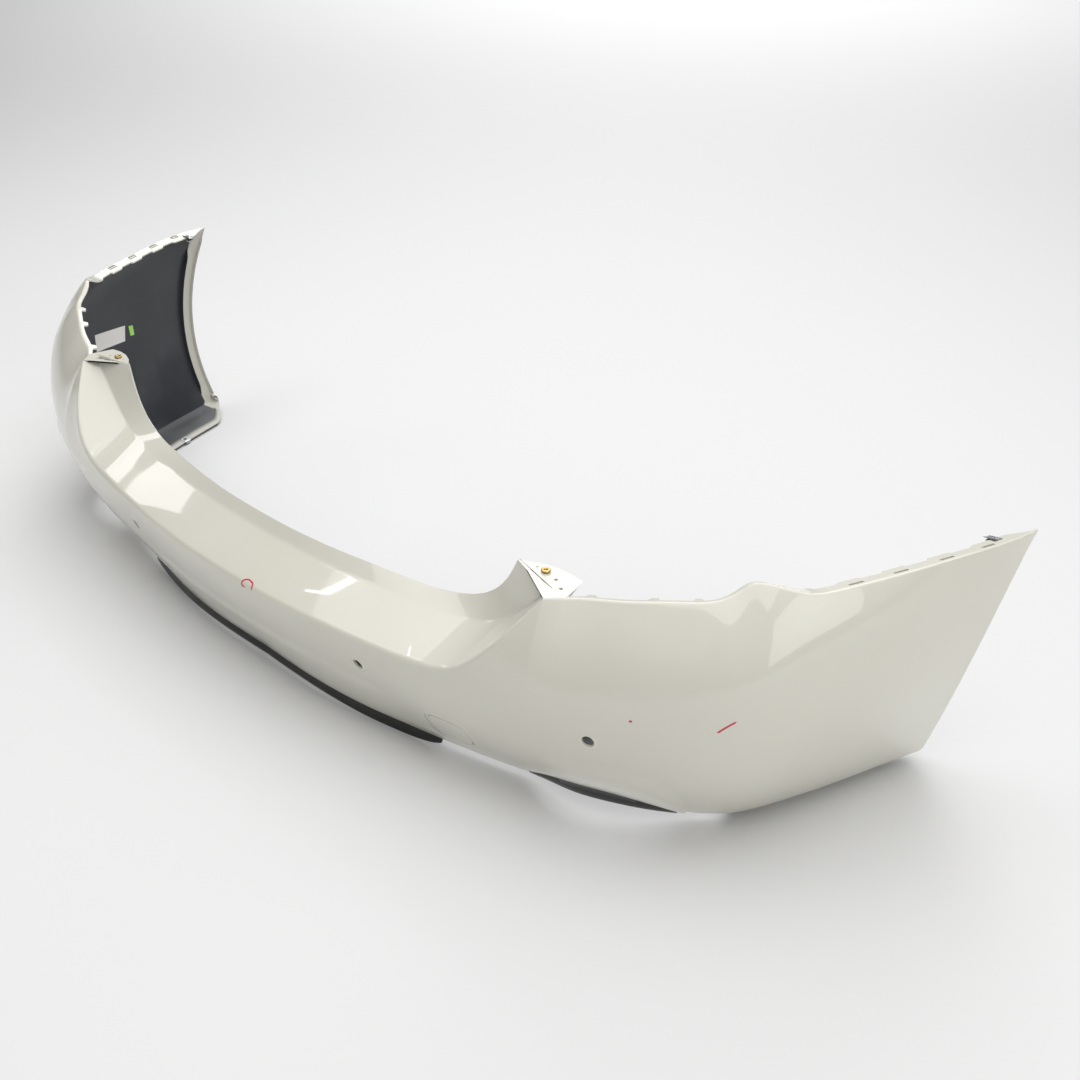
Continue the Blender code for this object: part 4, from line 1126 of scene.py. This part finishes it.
def wing_clip_place(side):
    """Place on the edge of the wing's top flange near the tip."""
    shape = bpy.context.scene.bumper_shape
    width = float(flange_width(WING_CLIP_S, shape.lip_width, shape.flange_width))
    return flange_place(side, WING_CLIP_S, width + 0.0006) @ Matrix.Rotation(-math.pi / 2, 4, "Z")


def shelf_clip_place(side):
    """Place on the inner edge of the wing's lower shelf, Z up square to the sloping shelf."""
    at = np.array(SHELF_CLIP_S)
    z, depth = low_z(at), float(shelf_width(at))
    true = fan(at, z)
    here = (skin(true, z) + inward_at(true) * depth) * [side, 1, 1]
    here[2] -= float(shelf_drop(at))
    inward = inward_at(true) * [side, 1, 1]
    turn = Matrix.Rotation(math.atan2(-inward[0], inward[1]), 4, "Z")
    tilt = Matrix.Rotation(-math.atan(float(shelf_drop(at)) / depth), 4, "X")
    return Matrix.Translation(here) @ turn @ tilt @ Matrix.Translation((0, 0.0008, 0.003))


def screw_mesh(s):
    """Pan-head screw: a turned head with a round recess, over a shank with a rolled thread."""
    steel = metal_material("spring_steel", bpy.context.scene.bumper_finish.steel, 0.32)
    head = -3.4
    ridges = [(r, h) for k in range(12) for r, h in ((2.5, -2.6 + 1.0 * k), (2.05, -2.1 + 1.0 * k))]
    profile = [(0.01, head + 0.5), (1.6, head + 0.5), (1.7, head - 1.75), (2.6, head - 2.0),
               (3.7, head - 1.6), (4.4, head - 0.8), (4.5, head - 0.1), (4.4, head), (2.5, head), *ridges,
               (1.2, 10.6), (0.01, 11.0)]
    profile = [(r * MM, h * MM) for r, h in profile]
    return turned("screw", profile, 36, steel, screw_place(s))


def nut_mesh(s):
    """Flat spring nut with a pressed-up thread collar."""
    steel = metal_material("spring_steel", bpy.context.scene.bumper_finish.steel, 0.32)
    place = screw_place(s)
    loops = []
    turn = np.linspace(0, 2 * np.pi, 32, endpoint=False)
    square = 1 / np.maximum(np.abs(np.cos(turn)) / 5.5, np.abs(np.sin(turn)) / 4.5)
    for r, h in ((2.8, 3.4), (square, 3.4), (square, 4.6), (4.0, 4.6), (3.5, 5.6), (2.8, 5.6)):
        loops.append(np.stack([r * np.cos(turn), r * np.sin(turn), h + 0 * turn], -1))
    mesh = ring_sweep("nut", np.array(loops).transpose(1, 0, 2) * MM, [steel], closed=True)
    mesh.transform(place)
    return mesh


# ---------------------------------------------------------------- label, sticker, marker lines


def face_patch(name, side, corners, depth, material, thickness=0.00018):
    """A thin sheet stuck on the wall: a grid between four (station, height) corners, lifted
    from the painted face by the depth (negative inside), with a wall of its own."""
    corners = np.array(corners)
    u, v = np.meshgrid(np.linspace(0, 1, 25), np.linspace(0, 1, 11), indexing="ij")
    weights = np.stack([(1 - u) * (1 - v), u * (1 - v), u * v, (1 - u) * v], -1)
    at = weights @ corners
    base, out = skin(at[..., 0], at[..., 1]), skin_normal(at[..., 0], at[..., 1])
    near = (base + out * depth) * [side, 1, 1]
    far = (base + out * (depth + math.copysign(thickness, depth))) * [side, 1, 1]
    points = np.vstack([near.reshape(-1, 3), far.reshape(-1, 3)])
    rows = grid_faces(*u.shape)
    lift = u.size
    number = np.arange(lift).reshape(u.shape)
    rim = np.concatenate([number[:, 0], number[-1, 1:], number[-2::-1, -1], number[0, -2:0:-1]])
    after = np.roll(rim, -1)
    quads = np.vstack([rows[:, ::-1], rows + lift, np.stack([rim, after, after + lift, rim + lift], -1)])
    return outward(mesh_from(name, points, quads, [material]))


def step_point(s, w):
    """Point near the step's edge: w is the distance past the edge on to the step, negative
    below it on the face, and round the edge it follows the same parabola as the moulding."""
    shape = bpy.context.scene.bumper_shape
    reach = shape.step_radius
    edge_z = top_z(s)
    edge = skin(s, edge_z)
    crease = spline(*both_sides(*CREASE), s / HORN_S)
    step = unit(crease - edge)
    below = skin(s, edge_z + np.minimum(w, 0))
    t = np.clip((w + reach) / (2 * reach), 0, 1)[..., None]
    round_low, round_high = skin(s, edge_z - reach), edge + step * reach
    bend = (1 - t) ** 2 * round_low + 2 * t * (1 - t) * edge + t**2 * round_high
    above = edge + step * w[..., None]
    w = w[..., None]
    return np.where(w <= -reach, below, np.where(w >= reach, above, bend))


def ribbon(name, at, width, surface, material, lift=0.00012):
    """A drawn line: points of the surface along a smooth curve, widened to both sides and
    lifted a hair's breadth, tapering at its ends."""
    t = np.linspace(0, 1, 60)
    at = np.array(at)
    knots = np.linspace(0, 1, len(at))
    path = spline(knots, at, t)
    middle = surface(path[:, 0], path[:, 1])
    nudge = 0.0006
    slope_s = surface(path[:, 0] + nudge, path[:, 1]) - surface(path[:, 0] - nudge, path[:, 1])
    slope_w = surface(path[:, 0], path[:, 1] + nudge) - surface(path[:, 0], path[:, 1] - nudge)
    out = unit(np.cross(slope_s, slope_w))
    along = unit(np.gradient(middle, axis=0))
    sideways = unit(np.cross(out, along))
    half = width / 2 * (0.35 + 0.65 * smooth(np.minimum(t, 1 - t) / 0.08))[:, None]
    loops = np.stack([middle - sideways * half - out * lift, middle - sideways * half + out * lift * 0.5,
                      middle + out * lift, middle + sideways * half + out * lift * 0.5,
                      middle + sideways * half - out * lift], 1)
    return ring_sweep(name, loops, [material])


# ---------------------------------------------------------------- properties


def length(name, description, default, low, high):
    return bpy.props.FloatProperty(name=name, description=description, default=default, min=low,
                                   max=high, unit="LENGTH", precision=4)


def colour(name, description, default):
    return bpy.props.FloatVectorProperty(name=name, description=description, default=default,
                                         size=3, min=0, max=1, subtype="COLOR")


def energy(name, description, default):
    return bpy.props.FloatProperty(name=name, description=description, default=default, min=0,
                                   max=500, unit="POWER")


class BumperShape(bpy.types.PropertyGroup):
    wall: length("Wall", "Thickness of the moulding", 0.003, 0.002, 0.004)
    lower_radius: length("Lower edge", "Softness of the painted lower edge", 0.0022, 0.001, 0.004)
    step_radius: length("Step edge", "Softness of the boot step's outer edge", 0.0075, 0.002, 0.01)
    edge_radius: length("Upper edge", "Softness of the lamp and wing edges", 0.0022, 0.001, 0.004)
    crease_radius: length("Crease", "Softness of the fold behind the boot step", 0.004, 0.001, 0.006)
    lip_width: length("Lamp lip", "Width of the inward lip under the lamp", 0.007, 0.004, 0.01)
    flange_width: length("Wing flange", "Width of the flange under the wing", 0.022, 0.015, 0.025)
    arch_lip: length("Arch lip", "Depth of the return lip along the wheel arch", 0.0095, 0.005, 0.012)


class BumperFinish(bpy.types.PropertyGroup):
    paint: colour("Paint", "Body colour of the painted face", (0.75, 0.735, 0.645))
    inner_plastic: colour("Bare moulding", "Unpainted plastic inside", (0.026, 0.029, 0.034))
    trim: colour("Trims", "Lower trim strips", (0.004, 0.0043, 0.0046))
    holder: colour("Holders", "Sensor holders", (0.16, 0.165, 0.17))
    zinc: colour("Inserts", "Plating of the threaded inserts", (0.72, 0.50, 0.17))
    steel: colour("Steel", "Clips, screws and nuts", (0.50, 0.51, 0.52))
    marker: colour("Marker", "Inspection marks drawn on the paint", (0.62, 0.02, 0.06))
    label: colour("Label", "Blank paper label in the left wing", (0.80, 0.79, 0.76))
    sticker: colour("Sticker", "Small sticker beside the label", (0.35, 0.75, 0.12))


class BumperStage(bpy.types.PropertyGroup):
    floor: colour("Floor", "Colour of the floor", (0.78, 0.78, 0.78))
    sky: bpy.props.FloatProperty(name="Sky", description="Strength of the even white surround",
                                 default=0.12, min=0, max=5)
    overhead: energy("Overhead", "Large softbox above the part", 146)
    far: energy("Far light", "Large softbox above the far floor", 380)
    side: energy("Side light", "Softbox on the right that lights the near wing", 35)
    rear: energy("Rear light", "Softbox behind the car that the shoulders reflect", 7)
    window: energy("Window", "Small softbox on the left that the boot step reflects", 3.2)
    strip: energy("Strip", "Narrow softbox that the step's edge reflects", 0.35)
    lens: bpy.props.FloatProperty(name="Lens", description="Focal length of the camera",
                                  default=45, min=20, max=200, unit="CAMERA")


# ---------------------------------------------------------------- operators


class BUMPER_OT_moulding(bpy.types.Operator):
    """Build the painted moulding with its holes, rolled hole edges and wing ribs"""

    bl_idname = "bumper.moulding"
    bl_label = "Moulding"

    def execute(self, context):
        skin_piece = piece("moulding", wall_mesh(context.scene.bumper_shape), "cover",
                           replaces=("cover_skin",))
        cut_out(skin_piece, cutting_solids())
        for hand, side in SIDES.items():
            for where, (s, z) in SENSORS.items():
                name = f"sensor_rim_{where}_{hand}"
                piece(name, sensor_rim(name, side, s, z), "cover")
            piece(f"wing_rib_{hand}", wing_rib("rib", side), "cover")
        piece("tow_eye_surround", cap_surround(), "cover")
        return {"FINISHED"}


class BUMPER_OT_tow_cap(bpy.types.Operator):
    """Build the hinged towing-eye cap"""

    bl_idname = "bumper.tow_cap"
    bl_label = "Towing-eye cap"

    def execute(self, context):
        piece("tow_cap_cover", cap_mesh(), "tow_cap", replaces=("tow_eye_cap",))
        return {"FINISHED"}


class BUMPER_OT_trims(bpy.types.Operator):
    """Build the centre strip and the two exhaust strips under the lower edge"""

    bl_idname = "bumper.trims"
    bl_label = "Lower trims"

    def execute(self, context):
        piece("centre_strip", centre_trim_mesh(), "cover",
              replaces=("centre_lower_trim",))
        for hand, side in SIDES.items():
            piece(f"exhaust_strip_{hand}", exhaust_trim_mesh("strip", side), "cover",
                  replaces=(f"exhaust_trim_{hand}",))
        return {"FINISHED"}


class BUMPER_OT_holders(bpy.types.Operator):
    """Build the four parking-sensor holders behind the face"""

    bl_idname = "bumper.holders"
    bl_label = "Sensor holders"

    def execute(self, context):
        for hand, side in SIDES.items():
            for where, (s, z) in SENSORS.items():
                piece(f"holder_{where}_{hand}", holder_mesh(side, s, z), "cover",
                      replaces=(f"sensor_holder_{where}_{hand}",))
        return {"FINISHED"}


class BUMPER_OT_inserts(bpy.types.Operator):
    """Build the threaded inserts in the horn tabs"""

    bl_idname = "bumper.inserts"
    bl_label = "Horn inserts"

    def execute(self, context):
        for hand, side in SIDES.items():
            piece(f"insert_{hand}", insert_mesh(side), "cover",
                  replaces=(f"horn_insert_{hand}",))
        return {"FINISHED"}


class BUMPER_OT_clips(bpy.types.Operator):
    """Build the spring clips on the wing flanges and the wing shelves"""

    bl_idname = "bumper.clips"
    bl_label = "Spring clips"

    def execute(self, context):
        for hand, side in SIDES.items():
            piece(f"flange_clip_{hand}", clip_mesh("clip", 0.011, 0.018, wing_clip_place(side)), "cover",
                  replaces=(f"wing_clip_{hand}",))
            piece(f"tongue_clip_{hand}", clip_mesh("clip", 0.012, 0.014, shelf_clip_place(side)), "cover",
                  replaces=(f"shelf_clip_{hand}",))
        return {"FINISHED"}


class BUMPER_OT_fasteners(bpy.types.Operator):
    """Build the screws and spring nuts that hold the lower trims"""

    bl_idname = "bumper.fasteners"
    bl_label = "Screws and nuts"

    def execute(self, context):
        for name, s in screw_stations().items():
            piece(f"screw_{name}", screw_mesh(s), "cover", replaces=(f"{name}_screw",))
            piece(f"nut_{name}", nut_mesh(s), "cover", replaces=(f"{name}_nut",))
        return {"FINISHED"}


class BUMPER_OT_marks(bpy.types.Operator):
    """Stick on the blank label and sticker and draw the inspection marks"""

    bl_idname = "bumper.marks"
    bl_label = "Label and marks"

    def execute(self, context):
        finish, inside = context.scene.bumper_finish, -context.scene.bumper_shape.wall - 0.0001
        paper = sheet_material("label_paper", finish.label, 0.6)
        green = sheet_material("sticker_film", finish.sticker, 0.45)
        ink = sheet_material("marker_ink", finish.marker, 0.4)
        piece("label", face_patch("label", -1, LABEL, inside, paper), "cover")
        piece("sticker", face_patch("sticker", -1, STICKER, inside, green), "cover")
        for name, points, surface in (("mark_loop", MARK_LOOP, step_point), ("mark_line", MARK_LINE, skin),
                                      ("mark_dash", MARK_DASH, skin)):
            piece(name, ribbon(name, points, 0.0026, surface, ink), "cover")
        return {"FINISHED"}


def lights(stage):
    """Name, place, aim, direction of the longer side, size and power of each softbox."""
    return (
        ("overhead", (0.0, 0.2, 3.2), (0, 0.2, 0), (1, 0, 0), (5.0, 5.0), stage.overhead),
        ("far", (-4.5, 6.5, 4.0), (-4.5, 6.5, 0), (1, 0, 0), (7.0, 7.0), stage.far),
        ("side", (3.6, -0.6, 1.7), (0.6, 0, 0.2), (0, 1, 0), (2.6, 2.2), stage.side),
        ("rear", (0.3, -4.2, 3.2), (0.6, -0.2, 0.3), (1, 0, 0), (3.6, 1.8), stage.rear),
        ("window", (-3.21, -0.68, 1.94), (-0.2, -0.2, 0.22), (0, 1, 0), (0.6, 0.45), stage.window),
        ("strip", (-1.351, -0.945, 2.113), (0.26, -0.274, 0.19), (0.844, 0.309, 0.438), (0.44, 0.02),
         stage.strip),
    )


def turn_to(at, aim, along):
    """Turn whose -Z points from one place to another and whose X lies close to a direction."""
    back = (Vector(at) - Vector(aim)).normalized()
    across = (Vector(along) - Vector(along).dot(back) * back).normalized()
    return Matrix((across, back.cross(across), back)).transposed().to_euler()


class BUMPER_OT_stage(bpy.types.Operator):
    """Build the pale floor, the soft studio lights and the camera"""

    bl_idname = "bumper.stage"
    bl_label = "Stage"

    def execute(self, context):
        stage = context.scene.bumper_stage
        corners = np.array([(-12, -12, 0), (12, -12, 0), (12, 12, 0), (-12, 12, 0)]) - [0, 0, 0.0005]
        floor = mesh_from("floor", corners, [(0, 1, 2, 3)])
        material, _, shader = start_material("floor")
        shader.inputs["Base Color"].default_value = (*stage.floor, 1)
        shader.inputs["Roughness"].default_value = 0.9
        shader.inputs["Specular IOR Level"].default_value = 0.1
        floor.materials.append(material)
        ground = bpy.data.objects.new("floor", floor)
        context.scene.collection.objects.link(ground)
        world = bpy.data.worlds.new("studio")
        world.use_nodes = True
        backdrop = world.node_tree.nodes["Background"]
        backdrop.inputs["Color"].default_value = (1, 1, 1, 1)
        backdrop.inputs["Strength"].default_value = stage.sky
        context.scene.world = world
        context.scene.view_settings.view_transform = "Standard"
        for name, at, aim, along, size, power in lights(stage):
            lamp = bpy.data.lights.new(name, "AREA")
            lamp.shape, lamp.size, lamp.size_y, lamp.energy = "RECTANGLE", *size, power
            lit = bpy.data.objects.new(name, lamp)
            lit.location = at
            lit.rotation_euler = turn_to(at, aim, along)
            context.scene.collection.objects.link(lit)
        view = bpy.data.cameras.new("camera")
        view.lens = stage.lens
        camera = bpy.data.objects.new("camera", view)
        camera.location = CAMERA_AT
        camera.rotation_euler = [math.radians(a) for a in CAMERA_TURN]
        context.scene.collection.objects.link(camera)
        context.scene.camera = camera
        return {"FINISHED"}


class BUMPER_PT_panel(bpy.types.Panel):
    """Buttons that build the pieces, and their sizes and colours"""

    bl_idname = "BUMPER_PT_panel"
    bl_label = "Bumper Cover"
    bl_space_type = "VIEW_3D"
    bl_region_type = "UI"
    bl_category = "Bumper"

    def draw(self, context):
        for group in ("bumper_shape", "bumper_finish", "bumper_stage"):
            box = self.layout.box()
            settings = getattr(context.scene, group)
            for key in settings.bl_rna.properties.keys():
                if key not in ("rna_type", "name"):
                    box.prop(settings, key)
        for operator in OPERATORS:
            self.layout.operator(operator.bl_idname)


OPERATORS = (
    BUMPER_OT_moulding, BUMPER_OT_tow_cap, BUMPER_OT_trims, BUMPER_OT_holders, BUMPER_OT_inserts,
    BUMPER_OT_clips, BUMPER_OT_fasteners, BUMPER_OT_marks, BUMPER_OT_stage,
)
GROUPS = {"bumper_shape": BumperShape, "bumper_finish": BumperFinish, "bumper_stage": BumperStage}


def register():
    for kind in (*GROUPS.values(), *OPERATORS, BUMPER_PT_panel):
        bpy.utils.register_class(kind)
    for name, kind in GROUPS.items():
        setattr(bpy.types.Scene, name, bpy.props.PointerProperty(type=kind))


def unregister():
    for name in GROUPS:
        delattr(bpy.types.Scene, name)
    for kind in (BUMPER_PT_panel, *OPERATORS[::-1], *GROUPS.values()):
        bpy.utils.unregister_class(kind)


def main():
    register()
    for operator in OPERATORS:
        group, name = operator.bl_idname.split(".")
        getattr(getattr(bpy.ops, group), name)()


if __name__ == "__main__":
    main()
